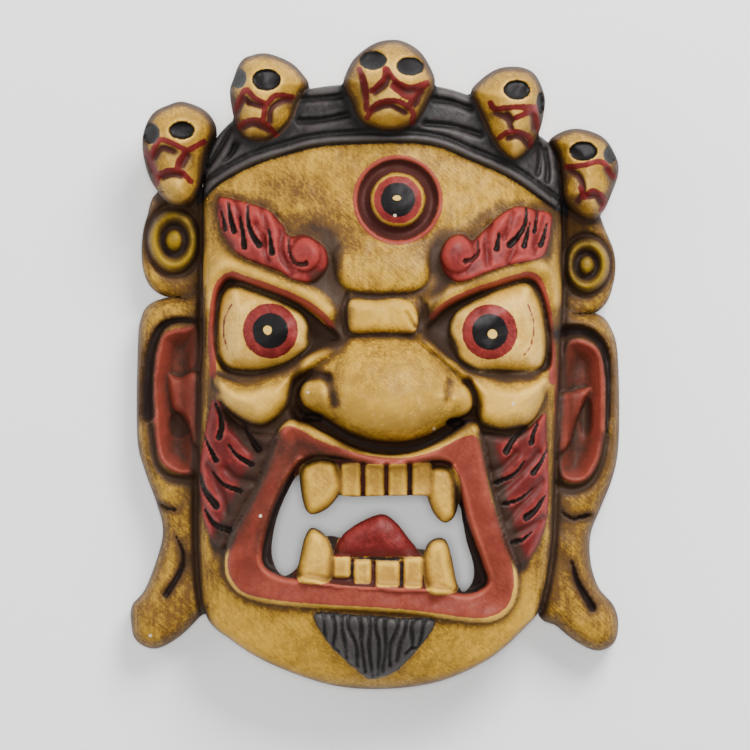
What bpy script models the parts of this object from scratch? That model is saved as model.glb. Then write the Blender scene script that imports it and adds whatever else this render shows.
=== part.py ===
"""A Tibetan cham dance mask, carved from one block of wood, lying on its back.

The mask is one piece: a wrathful three-eyed face with a fanged open mouth, big ears,
disc earrings, and a black crown with five skulls. It is hollowed from behind.
+Z points out of the face, +Y to the crown. The flat back rim lies on z = 0.
"""
import bmesh
import bpy
import numpy as np

# Sizes that are set by themselves, in metres.
MASK_HEIGHT = 0.325
WALL = 0.012
RIM_WIDTH = 0.012
THINNEST = 0.006
EAR_BACK = 0.007

# The carving is drawn in millimetres on a mask 325 mm tall, with x to the viewer's
# right, y up, and the origin at the middle of its height and width. One drawn
# millimetre is MM metres, so the whole carving keeps its proportions.
DRAWN_HEIGHT = 325.0
MM = MASK_HEIGHT / DRAWN_HEIGHT
FIELD = (260.0, 340.0)
CELL = 2.0
SNAP = 0.3 * CELL
REACH = 60.0
NEAR = 0.5
TRIANGLES = 9400
FLAT = 0.35

WOOD_COLOUR = (0.42, 0.26, 0.10, 1.0)
WOOD_ROUGHNESS = 0.45

# The block is the footprint of the face and crown, and of the back rim.
BLOCK = [
    (-87, 84), (-85, 104), (-77.5, 118), (-65, 128), (-47, 135.5), (-25, 140.5), (6, 142),
    (30, 140.5), (48, 135.5), (66, 127), (80, 117.5), (90, 108), (93.5, 90), (94, 33),
    (92, -17), (90, -57), (88.5, -92), (83, -121), (75, -132), (57.5, -147.5), (32.5, -159),
    (5, -163), (-22.5, -161), (-52.5, -150.5), (-72.5, -138.5), (-86, -125), (-90, -92),
    (-89, -17), (-87.5, 13),
]
LEFT_EAR = [
    (-84, 34), (-97, 35.5), (-112.5, 32), (-118.5, 24), (-120.2, 8), (-120.5, -35),
    (-117, -52), (-111, -68.5), (-107.5, -82), (-109.5, -94.5), (-116.5, -113),
    (-123, -121), (-123.5, -130), (-121, -139), (-111.5, -143), (-100, -137.5),
    (-89, -127), (-80, -115), (-80, -40),
]
RIGHT_EAR = [
    (88, 26), (104, 27), (114, 25), (119, 18.5), (122, 8), (123, -17), (122.5, -42),
    (119.5, -57), (113.5, -72), (108.5, -85), (108.5, -99), (112.5, -112), (120, -121),
    (122.5, -130), (120.5, -140), (112.5, -144), (103, -140.5), (92, -132), (80, -118),
    (80, -40),
]
LEFT_DISC = [(-109, 88), (-115.5, 75), (-118, 63), (-117.5, 49), (-113, 39), (-103, 34),
             (-84, 33), (-80, 60), (-84, 88)]
RIGHT_DISC = [(108, 84), (116, 68), (120.5, 56), (120.5, 44), (116, 31), (106, 25),
              (88, 25), (85, 55), (90, 84)]

# Outline, middle of the round top, height of the widest level, lift of the round
# front, eye sockets (middle and half sizes) and the ends and middle of the mouth.
SKULLS = [
    dict(outline=[(-96.5, 132.5), (-105, 130.5), (-112.5, 126), (-117, 115.5), (-116.5, 104),
                  (-112.5, 92), (-104, 82), (-94, 81), (-88, 90), (-84.5, 106), (-80, 118),
                  (-85, 127.5)],
         level=33, lift=22, roll=17, eyes=[(-112.5, 116, 4.5, 6), (-97.5, 117.5, 6.5, 5)],
         mouth=[(-111, 92), (-109, 97), (-103.5, 98.5), (-97.5, 96.5), (-94, 90)]),
    dict(outline=[(-54, 156), (-62.5, 155), (-67.5, 152), (-71.5, 143), (-73, 135.5),
                  (-70.5, 122), (-66, 114), (-58.5, 111.5), (-51.5, 112.5), (-42.5, 120.5),
                  (-37.5, 133), (-33.5, 140), (-36, 145), (-42.5, 151.5)],
         level=50, lift=27, roll=20, eyes=[(-68.5, 142.5, 4.5, 5.5), (-55, 142, 7.5, 6)],
         mouth=[(-69.5, 120.5), (-65, 122.5), (-58.5, 121.5), (-53.5, 119), (-50, 114.5)]),
    dict(outline=[(10, 162.5), (0, 161), (-10, 154), (-15, 145.5), (-16, 140), (-12.5, 132),
                  (-8.5, 122.5), (-2.5, 118.5), (7.5, 116.5), (17.5, 119), (23, 125),
                  (26.5, 132), (29.5, 140), (28.5, 146), (23.5, 155), (17.5, 160)],
         level=59, lift=32, roll=22, eyes=[(-1, 151.5, 7, 5), (17.5, 148.5, 7.5, 5)],
         mouth=[(-5, 126.5), (-2, 130), (6.5, 131.5), (15, 129), (19.5, 123.5)]),
    dict(outline=[(67.5, 149.5), (60, 148), (52.5, 143), (47.5, 136.5), (51, 127),
                  (56.5, 115), (61.5, 107.5), (69, 102.5), (76, 107), (81.5, 116),
                  (84, 125.5), (84.5, 134.5), (80.5, 144.5), (75, 148.5)],
         level=50, lift=27, roll=19, eyes=[(70.5, 137, 7, 5.5), (81.5, 131, 2.5, 5.5)],
         mouth=[(61.5, 112.5), (67.5, 117), (75, 116), (79, 112), (75, 106)]),
    dict(outline=[(100, 119), (92.5, 117), (87, 112.5), (90.5, 106), (92.5, 95.5), (94, 84),
                  (100, 77), (108.5, 74), (114, 77), (118, 85), (122, 97), (120.5, 105.5),
                  (115.5, 113.5), (108.5, 117.5)],
         level=32, lift=21, roll=17, eyes=[(104, 107.5, 7, 5.5), (117.5, 105.5, 3.5, 5)],
         mouth=[(96.5, 81.5), (100, 85.5), (107.5, 87.5), (113, 84), (115, 80)]),
]
SKULL_BACK_LIFT = 0.55
SKULL_EDGE = 4.0

CROWN_EDGE = [(-100, 70), (-85, 84.5), (-76.5, 91.5), (-62.5, 99), (-47.5, 104),
              (-27.5, 109), (2.5, 110.5), (27.5, 109.5), (47.5, 102), (67.5, 93),
              (87.5, 79.5), (104, 70)]
CROWN_FOLDS = [
    [(-38, 133), (-27, 133.5), (-17, 134.5)], [(-38, 122), (-27, 122.5), (-14, 125)],
    [(29, 133), (38, 131.5), (47, 128.5)], [(25, 120.5), (38, 119.5), (52, 115.5)],
    [(-84, 100), (-78, 109), (-73, 118)], [(84, 86), (86, 96), (85, 108)],
]

LEFT_BROW = [(-78, 84), (-62.5, 81.5), (-50, 76.5), (-42.5, 66), (-33, 65), (-24.5, 58),
             (-24.5, 47), (-37.5, 41.5), (-52.5, 47), (-68.5, 54), (-78, 65.5), (-80, 76)]
RIGHT_BROW = [(40, 65.5), (47.5, 63.5), (60, 73), (70, 79.5), (82.5, 77), (88, 70.5),
              (86, 60.5), (80, 53), (72, 51), (57.5, 46.5), (40, 41), (31.5, 48), (32, 59)]
BROW_CUTS = [
    [(-76, 74), (-73.5, 65.5)], [(-72.5, 72), (-70, 65.5)], [(-67, 70.5), (-64.5, 58)],
    [(-61.5, 68), (-56.5, 55)], [(-52.5, 65.5), (-51, 53)], [(-63.5, 79.5), (-62.5, 70.5)],
    [(-55, 75.5), (-53.5, 69)], [(-45, 62), (-40, 47), (-30, 45)],
    [(62.5, 65.5), (60.5, 55)], [(72.5, 70.5), (66.5, 58)], [(79, 75.5), (75, 64)],
    [(77.5, 65.5), (74, 54)], [(85, 67), (81.5, 54)], [(50, 61), (49, 50), (41, 46)],
]
BROW_CURLS = [(-36, 56, 7.5), (41, 57, 8)]

THIRD_EYE = (11, 82.5)
SOCKETS = [
    [(-80, 36), (-71, 43.5), (-57, 38), (-42, 32), (-30, 24.5), (-21, 15.5), (-25, 10.5),
     (-37.5, 0.5), (-60, -3.5), (-78.5, -1), (-82, 13)],
    [(26.5, 15.5), (32.5, 8), (47.5, -3), (62.5, -4), (78, -3), (86, 2), (87.5, 13),
     (84.5, 30), (77.5, 43), (65, 41), (52.5, 37), (38, 31), (30, 24)],
]
EYEBALLS = [(-54.5, 18, 23.5, 20), (61, 16.5, 24, 20)]
LIDS = [
    [(-83, -3), (-83.5, 13), (-80, 37), (-71.5, 47), (-57.5, 41.5), (-42.5, 35.5),
     (-30, 27.5), (-21, 17)],
    [(88.5, -6), (88.5, 13), (85.5, 32), (78.5, 46), (65, 43.5), (52.5, 39.5), (37.5, 33.5),
     (27, 25)],
]

NOSE = [(-16, 13), (3, 16), (21, 13), (34, 3), (46, -9), (49, -18), (44, -25), (35, -30),
        (22, -36.5), (5, -38.5), (-12, -35), (-24, -28), (-35, -21), (-38, -12), (-33, -3),
        (-25, 5)]
NOSE_WINGS = [(-30, -13, 8.5), (40.5, -16, 8)]
WING_CUTS = [
    [(-42, -14), (-38, -6), (-30, -4), (-22, -6), (-20, -14), (-22, -22)],
    [(49, -12), (42, -7), (34, -7), (29.5, -13), (30.5, -21)],
]
NOSTRILS = [(-26, -23.5, 5, 2.5), (38.5, -26.5, 5.5, 2.5)]
NOSE_SHADOW = [(-39, -20), (-26, -30), (-13, -37.5), (5, -41.5), (22, -41), (36, -36),
               (47, -28)]
BAGS = [
    [(-81, -3.5), (-60, -7), (-42, -5.5), (-34, -2), (-39, -9), (-44.5, -22), (-56.5, -30.5),
     (-70, -26), (-77, -19.5)],
    [(45, -4), (62.5, -7), (84, -5), (87, -10), (80, -26), (72.5, -31), (62.5, -32.5),
     (52, -29.5), (47, -19)],
]

FLAMES = [
    [(-82.5, -16), (-85.5, -32), (-88, -57), (-87.5, -72), (-82.5, -84.5), (-76, -92.5),
     (-70, -83), (-62.5, -69.5), (-56.5, -57), (-52, -45), (-49, -34.5), (-60, -32.5),
     (-70, -28)],
    [(84, -24), (85.5, -42), (87, -62), (84.5, -82), (79, -93), (72.5, -100.5), (67, -97),
     (63.5, -87), (60, -72), (56.5, -57), (53.5, -42), (52.5, -33), (62.5, -34.5),
     (75, -33)],
]
FLAME_CUTS = [
    [(-86, -39.5), (-81, -48)], [(-73.5, -39.5), (-63.5, -48)], [(-80, -54.5), (-69, -62)],
    [(-88, -57), (-80, -72)], [(-85, -74.5), (-73.5, -82)], [(-80, -19.5), (-78.5, -33)],
    [(73.5, -33), (64, -44.5)], [(80, -31), (77.5, -39.5)], [(72.5, -49.5), (60, -58)],
    [(83.5, -44.5), (76.5, -54.5)], [(62.5, -69.5), (72.5, -67)], [(83, -68), (74, -77)],
    [(77.5, -84.5), (66.5, -88.5)],
]

LIPS = [(-42.5, -30), (-50, -37), (-56.5, -57), (-70, -82), (-74, -97), (-71.5, -108),
        (-62, -115), (-37.5, -118.5), (12.5, -121.5), (47.5, -126), (60, -124.5),
        (67.5, -117), (68.5, -102), (62.5, -82), (56.5, -62), (53.5, -44.5), (49.5, -35),
        (42.5, -36), (27.5, -43), (12.5, -46), (-7.5, -44), (-27.5, -37.5)]
MOUTH = [(-35, -46), (-42, -53), (-51.5, -72), (-57.5, -92), (-56, -102), (-45, -108.5),
         (-12.5, -113), (25, -115.5), (48, -115.5), (57.5, -110), (55, -100), (46, -77),
         (40.5, -55), (32.5, -47), (5, -49.5), (-20, -45)]
OPENING = [(-38, -54), (-45, -65), (-50, -78), (-52.3, -92), (-50.5, -101), (-46, -105.5),
           (-40, -102), (-33, -91), (-24, -85.5), (-16, -87), (3, -93), (22, -92), (32, -96),
           (38, -104), (43.5, -113.5), (48.5, -108.5), (49, -100), (45.5, -88), (43.5, -78),
           (40.5, -68), (25, -65), (5, -65), (-16, -65), (-30, -59)]
FANGS = [
    [(-38, -55), (-37, -64.5), (-35, -72), (-31.5, -74.5), (-25, -72), (-20, -67),
     (-17, -60), (-20, -49), (-28.5, -46), (-36, -49.5)],
    [(28, -51), (37.5, -51), (41, -57), (41.5, -66), (39.5, -75), (35.5, -78.5),
     (31.5, -77), (27.5, -71), (25.5, -62)],
    [(-38, -102), (-36.5, -92), (-34, -84.5), (-31, -81.5), (-27, -83), (-24.8, -91),
     (-24.5, -100), (-28, -106), (-35, -106)],
    [(24.5, -97), (26.5, -89.5), (31, -86.5), (35, -88), (37.5, -94.5), (39, -104.5),
     (38, -111.5), (28, -112), (24.5, -106)],
]
TONGUE = [(-19, -96), (-17.5, -87), (-14, -82.5), (-5, -77), (3.5, -74.5), (10, -78.5),
          (16, -86), (20.5, -92), (21, -98), (0, -100)]
# Middle, half width, top and bottom of each small tooth.
TEETH = [(-12.8, 4.9, -50, -65.5), (-0.8, 4.9, -50.5, -65.5), (10.8, 4.8, -50.5, -65.5),
         (22.8, 4.6, -50, -65), (-17, 3.7, -94.5, -105), (-7, 4.6, -96.5, -109),
         (5.5, 5, -97.5, -110.5), (18.2, 5, -96.5, -111)]
BEARD = [(-31, -124), (0, -125), (29.5, -127), (25, -137), (12.5, -151), (5, -155.5),
         (-3.5, -157), (-10, -152), (-17.5, -145.5), (-25, -137)]
BEARD_CUTS = [[(-22, -125), (-19, -135), (-13, -147)], [(-11, -125), (-10, -138), (-5, -152)],
              [(0, -126), (-1, -140), (1, -154)], [(11, -126), (9, -140), (7, -151)],
              [(21, -127), (17, -138), (12, -147)]]

EAR_GROOVES = [
    [(-87.5, 26), (-95, 29), (-104, 28.5), (-111, 22), (-115, 8), (-116.5, -17),
     (-115.5, -35), (-111.5, -48), (-105, -55), (-94, -59)],
    [(93, 11), (97, 17), (104, 18.5), (111, 13), (117, 1), (119.5, -12), (118, -32),
     (114.5, -46), (108, -56), (98, -61)],
    [(-108.5, -69), (-104, -72), (-99, -73)], [(93, -73), (99, -77), (107, -76)],
    [(-101, -87), (-97, -95), (-98, -106), (-106, -116)],
    [(98, -102), (99, -110), (103, -115), (109, -120)],
]
CONCHAS = [
    [(-108, 14), (-100, 18.5), (-91, 15.5), (-90, -20), (-90.5, -50), (-98, -54),
     (-107, -50), (-111.5, -38), (-113.5, -15), (-112.5, 3)],
    [(101, 12.5), (95, 8), (92.5, -10), (91, -40), (94, -55), (105, -58.5), (112.5, -52),
     (115.5, -30), (115.5, -10), (110, 8)],
]
CONCHA_HOLES = [(-98.5, -27, 6, 9), (107, -24, 6, 14)]
TRAGI = [(-96.5, -11, 6.5, 8), (101, -18, 6, 9)]
DISCS = [(-102, 62.5, 12.5, 15.5), (106, 50.5, 12, 13)]

# The hollow stays clear of the deep carving by this much more wood.
NOSE_HOLLOW = 10
MOUTH_BACKING = 10
SOCKET_BACKING = 6
EYE_BACKS = [(-42, 14, 30, 22), (46, 14, 30, 22)]

# Height of the middle of the face above the back plane, up the face.
CREST_Y = (-170, -160, -150, -135, -115, -80, -30, 20, 60, 105, 140, 170)
CREST_Z = (24, 39, 48, 56, 61, 65, 69, 70, 67, 61, 55, 48)
FACE_MIDDLE = 2.0
FACE_HALF_WIDTH = 91.0
FACE_FLANK = 0.3


def curve(points, closed=True, steps=5):
    """A smooth line through the given points."""
    dots = np.array(points, dtype=float)
    if closed:
        dots = np.vstack([dots[-1], dots, dots[:2]])
    else:
        dots = np.vstack([2 * dots[0] - dots[1], dots, 2 * dots[-1] - dots[-2]])
    t = np.linspace(0, 1, steps, endpoint=False)[:, None]
    spans = []
    for a, b, c, d in zip(dots, dots[1:], dots[2:], dots[3:]):
        spans.append(b + 0.5 * t * (c - a + t * (2 * a - 5 * b + 4 * c - d
                                                 + t * (3 * (b - c) + d - a))))
    if closed:
        return np.vstack(spans)
    return np.vstack(spans + [dots[-2:-1]])


def distance(x, y, line, reach=REACH):
    """Distance from each point to a line, up to the given reach."""
    low = line.min(axis=0) - reach
    high = line.max(axis=0) + reach
    near = (x > low[0]) & (x < high[0]) & (y > low[1]) & (y < high[1])
    px = x[near]
    py = y[near]
    best = np.full(px.shape, reach * reach)
    for (ax, ay), (bx, by) in zip(line, line[1:]):
        span = max((bx - ax) ** 2 + (by - ay) ** 2, 1e-9)
        t = np.clip(((px - ax) * (bx - ax) + (py - ay) * (by - ay)) / span, 0, 1)
        gap = (px - ax - t * (bx - ax)) ** 2 + (py - ay - t * (by - ay)) ** 2
        best = np.minimum(best, gap)
    result = np.full(x.shape, float(reach))
    result[near] = np.sqrt(best)
    return result


def depth_inside(x, y, points, reach=REACH):
    """Distance to a closed outline, positive inside it and negative outside."""
    line = curve(points)
    ring = np.vstack([line, line[:1]])
    within = np.zeros(x.shape, dtype=bool)
    for (ax, ay), (bx, by) in zip(ring, ring[1:]):
        if ay != by:
            crosses = (ay > y) != (by > y)
            within ^= crosses & (x < ax + (y - ay) * (bx - ax) / (by - ay))
    return np.where(within, 1, -1) * distance(x, y, ring, reach)


def ramp(t):
    """A smooth step from 0 to 1."""
    t = np.clip(t, 0, 1)
    return t * t * (3 - 2 * t)


def swell(t):
    """A quarter round that rises steeply from 0 and levels out at 1."""
    return np.sqrt(1 - (1 - np.clip(t, 0, 1)) ** 2)


def bell(t):
    """A soft peak of height 1 at 0."""
    return np.exp(-t * t)


def ball(x, y, middle_x, middle_y, half_x, half_y):
    """The upper half of an ellipsoid of height 1."""
    return np.sqrt(np.clip(1 - ((x - middle_x) / half_x) ** 2
                           - ((y - middle_y) / half_y) ** 2, 0, 1))


def cut(x, y, points, width, depth):
    """A gouge cut along an open line, as a change of height."""
    line = curve(points, closed=False)
    return -depth * bell(distance(x, y, line, 4 * width) / width)


def silhouette_depth(x, y):
    """Distance inside the whole mask, with the mouth opening cut out."""
    depth = depth_inside(x, y, BLOCK)
    for outline in (LEFT_EAR, RIGHT_EAR, LEFT_DISC, RIGHT_DISC):
        depth = np.maximum(depth, depth_inside(x, y, outline))
    for skull in SKULLS:
        depth = np.maximum(depth, depth_inside(x, y, skull["outline"]))
    opening = depth_inside(x, y, OPENING)
    for outline in FANGS + [TONGUE]:
        opening = np.minimum(opening, -depth_inside(x, y, outline))
    return np.minimum(depth, -opening)


def bare_face(x, y):
    """The barrel of the face before its features are carved."""
    crest = np.interp(y, *curve(np.column_stack([CREST_Y, CREST_Z]), closed=False).T)
    across = 0.93 * (x - FACE_MIDDLE) / FACE_HALF_WIDTH
    arch = np.sqrt(np.clip(1 - across ** 2, 0.1, 1))
    return crest * (FACE_FLANK + (1 - FACE_FLANK) * arch)


def carve_ears(x, y):
    """The ears and the disc earrings, which lie low beside the face."""
    height = np.full(x.shape, 14.0)
    for outline in (LEFT_EAR, RIGHT_EAR):
        edge = depth_inside(x, y, outline)
        height += 14 * swell(edge / 9)
    for outline, (middle_x, middle_y, half_x, half_y) in zip((LEFT_DISC, RIGHT_DISC), DISCS):
        edge = depth_inside(x, y, outline)
        radius = np.hypot((x - middle_x) / half_x, (y - middle_y) / half_y)
        slab = 14 + 8 * swell(edge / 6)
        slab += 5 * bell((radius - 0.82) / 0.2) - 3 * bell((radius - 1.15) / 0.1)
        slab += 5 * swell((0.32 - radius) / 0.32)
        height = np.where(edge > -NEAR, np.maximum(height, slab), height)
    for line in EAR_GROOVES:
        height += cut(x, y, line, 2.4, 7)
    for outline in CONCHAS:
        edge = depth_inside(x, y, outline)
        height += 2.5 * bell((edge - 2.5) / 2) - 6 * ramp((edge - 4) / 5)
    for hollow in CONCHA_HOLES:
        height -= 5 * ball(x, y, *hollow)
    for lump in TRAGI:
        height += 9 * ball(x, y, *lump)
    return height - 0.12 * np.clip(np.abs(x) - 92, 0, 40)


def carve_brows(x, y):
    """The flame shaped brows with their curled inner ends."""
    height = np.zeros(x.shape)
    for outline in (LEFT_BROW, RIGHT_BROW):
        height += 8 * swell(depth_inside(x, y, outline) / 6)
    for middle_x, middle_y, radius in BROW_CURLS:
        height += 4 * ball(x, y, middle_x, middle_y, radius, radius)
    for line in BROW_CUTS:
        height += cut(x, y, line, 1.5, 4.5)
    return height


def carve_eyes(x, y):
    """Two bulging eyes in their sockets, and the round third eye above them."""
    height = np.zeros(x.shape)
    for outline in SOCKETS:
        height -= 9 * ramp(depth_inside(x, y, outline) / 4)
    for eyeball in EYEBALLS:
        height += 17 * ball(x, y, *eyeball)
    for line in LIDS:
        lid = curve(line, closed=False)
        height += 4 * bell(distance(x, y, lid, 12) / 2.6)
    radius = np.hypot(x - THIRD_EYE[0], y - THIRD_EYE[1])
    height += 2.5 * bell((radius - 21) / 1.6) - 4 * bell((radius - 16.5) / 3)
    return height + 7 * swell((13.5 - radius) / 13.5)


def carve_nose(x, y):
    """The knitted bulge between the brows, the bridge roll and the broad snub nose."""
    height = 9 * ball(x, y, 6, 50, 22, 14) + 12 * ball(x, y, 3, 24.5, 21, 10) ** 0.7
    body = depth_inside(x, y, NOSE)
    height += 20 * swell(body / 20) * (1 - 0.25 * ramp((y + 5) / 20))
    height += 9 * bell(np.hypot((x - 5) / 20, (y + 19) / 16)) * ramp(body / 8)
    for middle_x, middle_y, radius in NOSE_WINGS:
        height += 9 * ball(x, y, middle_x, middle_y, radius, radius)
    for line in WING_CUTS:
        height += cut(x, y, line, 1.8, 5)
    for hollow in NOSTRILS:
        height -= 9 * ball(x, y, *hollow)
    return height + cut(x, y, NOSE_SHADOW, 3, 4)


def carve_cheeks(x, y):
    """The bags under the eyes and the flames of hair beside the mouth."""
    height = np.zeros(x.shape)
    for outline in BAGS:
        height += 12 * swell(depth_inside(x, y, outline) / 11)
    for outline in FLAMES:
        height += 6 * swell(depth_inside(x, y, outline) / 5)
    for line in FLAME_CUTS:
        height += cut(x, y, line, 1.5, 4)
    return height


def carve_mouth(x, y):
    """The snarling lips, the teeth and fangs, and the tongue in the open mouth."""
    lips = depth_inside(x, y, LIPS)
    mouth = depth_inside(x, y, MOUTH)
    height = 11 * swell(np.minimum(lips, -mouth) / 7) * (mouth < 0)
    height -= 9 * ramp(mouth / 3)
    for outline in FANGS:
        height += 10 * swell(depth_inside(x, y, outline) / 6)
    height += 6 * swell(depth_inside(x, y, TONGUE) / 10)
    for middle, half_width, top, bottom in TEETH:
        edge = np.minimum(half_width - np.abs(x - middle), np.minimum(top - y, y - bottom))
        height += 7 * swell(edge / 3)
    beard = depth_inside(x, y, BEARD)
    height += 5 * swell(beard / 5)
    for line in BEARD_CUTS:
        height += cut(x, y, line, 1.4, 3) * ramp(beard / 2)
    return height


def carve_crown(x, y, height):
    """The black band over the forehead, with its rolled lower edge and folds."""
    edge = curve(CROWN_EDGE, closed=False)
    above = np.where(y > np.interp(x, *edge.T), 1, -1) * distance(x, y, edge)
    band = height + 5 * ramp(above / 2.5) - 3 * bell((above - 6) / 1.6)
    for line in CROWN_FOLDS:
        band += cut(x, y, line, 2, 3) * ramp((above - 7) / 3)
    return np.where(above > 0, band, height)


def carve_skulls(x, y, height):
    """Five round skulls along the top of the crown."""
    for skull in SKULLS:
        edge = depth_inside(x, y, skull["outline"])
        face = skull["level"] + skull["lift"] * swell(edge / skull["roll"])
        for socket in skull["eyes"]:
            face -= 7 * ball(x, y, *socket) ** 0.6
        face += cut(x, y, skull["mouth"], 1.6, 4)
        height = np.where(edge > -NEAR, np.maximum(height, face), height)
    return height


def front_height(x, y):
    """Height of the carved front above the back plane."""
    block = depth_inside(x, y, BLOCK)
    face = bare_face(x, y) - 9 * (1 - swell(block / 9))
    face += carve_brows(x, y) + carve_eyes(x, y) + carve_nose(x, y)
    face += carve_cheeks(x, y) + carve_mouth(x, y)
    face = carve_crown(x, y, face)
    side = carve_ears(x, y)
    join = ramp((block + 1) / 2.5)
    height = side + (face - side) * join - 5 * bell(block / 1.6) * (np.abs(x) > 80) * (y < 80)
    return carve_skulls(x, y, height)


def back_height(x, y):
    """Height of the hollowed back: a flat rim, the hollow, and what overhangs it."""
    block = depth_inside(x, y, BLOCK)
    edge = silhouette_depth(x, y)
    hollow = bare_face(x, y) - WALL / MM
    hollow += NOSE_HOLLOW * bell(np.hypot((x - 5) / 22, (y + 14) / 22))
    hollow -= MOUTH_BACKING * ramp((depth_inside(x, y, MOUTH) + 12) / 12)
    for middle_x, middle_y, half_x, half_y in EYE_BACKS:
        spread = np.hypot((x - middle_x) / half_x, (y - middle_y) / half_y)
        hollow -= SOCKET_BACKING * bell(spread)
    inner = hollow * ramp((block - RIM_WIDTH / MM) / 16)
    overhang = EAR_BACK / MM + 4 * (1 - swell(edge / 5))
    beside = np.full(x.shape, np.inf)
    for outline in (LEFT_EAR, RIGHT_EAR, LEFT_DISC, RIGHT_DISC):
        beside = np.where(depth_inside(x, y, outline) > -NEAR, overhang, beside)
    for skull in SKULLS:
        inside = depth_inside(x, y, skull["outline"])
        under = skull["level"] - SKULL_EDGE
        under = under - SKULL_BACK_LIFT * skull["lift"] * swell(inside / skull["roll"])
        beside = np.where(inside > -NEAR, np.minimum(beside, under), beside)
    beside = np.where(np.isfinite(beside), beside, overhang)
    return np.where(block >= 0, inner, beside * ramp(-block / 2.5))


def trimmed_sheet():
    """A flat grid, cut to the outline of the mask with the mouth open."""
    mesh = bmesh.new()
    columns = int(FIELD[0] / CELL)
    rows = int(FIELD[1] / CELL)
    bmesh.ops.create_grid(mesh, x_segments=columns, y_segments=rows, size=0.5)
    bmesh.ops.scale(mesh, vec=(FIELD[0], FIELD[1], 1), verts=mesh.verts)
    places = np.array([vert.co[:2] for vert in mesh.verts])
    depth = silhouette_depth(*places.T)
    probe = 0.05
    slope_x = (silhouette_depth(places[:, 0] + probe, places[:, 1]) - depth) / probe
    slope_y = (silhouette_depth(places[:, 0], places[:, 1] + probe) - depth) / probe
    depths = {}
    for vert, d, sx, sy in zip(mesh.verts, depth, slope_x, slope_y):
        if abs(d) < SNAP:
            vert.co.x -= d * sx
            vert.co.y -= d * sy
            d = 0.0
        depths[vert] = d
    on_edge = [vert for vert, d in depths.items() if d == 0.0]
    for edge in list(mesh.edges):
        first, second = edge.verts
        if depths[first] * depths[second] < 0:
            share = depths[first] / (depths[first] - depths[second])
            crossing = bmesh.utils.edge_split(edge, first, share)[1]
            depths[crossing] = 0.0
            on_edge.append(crossing)
    bmesh.ops.connect_verts(mesh, verts=on_edge)
    outside = []
    for face in mesh.faces:
        if min(depths[vert] for vert in face.verts) < 0:
            outside.append(face)
    bmesh.ops.delete(mesh, geom=outside, context="FACES")
    centres = np.array([face.calc_center_median()[:2] for face in mesh.faces])
    stray = [face for face, d in zip(mesh.faces, silhouette_depth(*centres.T)) if d < 0]
    bmesh.ops.delete(mesh, geom=stray, context="FACES")
    return mesh


def carve_mask():
    """The closed, carved body, in drawn millimetres."""
    mesh = trimmed_sheet()
    back_faces = list(mesh.faces)
    front = bmesh.ops.extrude_face_region(mesh, geom=back_faces, use_keep_orig=True)
    front_verts = {item for item in front["geom"] if isinstance(item, bmesh.types.BMVert)}
    verts = list(mesh.verts)
    places = np.array([vert.co[:2] for vert in verts])
    high = front_height(*places.T)
    low = np.minimum(back_height(*places.T), high - THINNEST / MM)
    for vert, top, bottom in zip(verts, high, np.maximum(low, 0)):
        vert.co.z = top if vert in front_verts else bottom
    bmesh.ops.recalc_face_normals(mesh, faces=mesh.faces)
    bmesh.ops.triangulate(mesh, faces=mesh.faces)
    return mesh


def thin_out(thing, triangles):
    """Collapse the smallest details until the body has about this many triangles."""
    thinner = thing.modifiers.new("thinner", "DECIMATE")
    thinner.ratio = triangles / len(thing.data.polygons)
    view = thing.evaluated_get(bpy.context.evaluated_depsgraph_get())
    mesh = bpy.data.meshes.new_from_object(view)
    thing.modifiers.clear()
    thing.data = mesh


def seat_on_rim(mesh):
    """Flatten the back rim, centre the mask and set it to its real size."""
    places = np.array([vert.co[:] for vert in mesh.vertices])
    places[places[:, 2] < FLAT, 2] = 0
    middle = (places.min(axis=0) + places.max(axis=0)) / 2
    places[:, :2] -= middle[:2]
    for vert, place in zip(mesh.vertices, places * MM):
        vert.co = place


def wood():
    """Painted and waxed wood."""
    material = bpy.data.materials.new("painted_wood")
    material.use_nodes = True
    shader = material.node_tree.nodes["Principled BSDF"]
    shader.inputs["Base Color"].default_value = WOOD_COLOUR
    shader.inputs["Roughness"].default_value = WOOD_ROUGHNESS
    shader.inputs["Metallic"].default_value = 0.0
    return material


for old in list(bpy.data.objects):
    bpy.data.objects.remove(old)

body = carve_mask()
mask_mesh = bpy.data.meshes.new("mask")
body.to_mesh(mask_mesh)
body.free()
mask = bpy.data.objects.new("mask", mask_mesh)
bpy.context.collection.objects.link(mask)
thin_out(mask, TRIANGLES)
seat_on_rim(mask.data)
mask.data.name = "mask"
mask.data.materials.clear()
mask.data.materials.append(wood())
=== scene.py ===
"""A Tibetan cham dance mask of carved and painted wood, lying on its back on a pale floor."""

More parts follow.
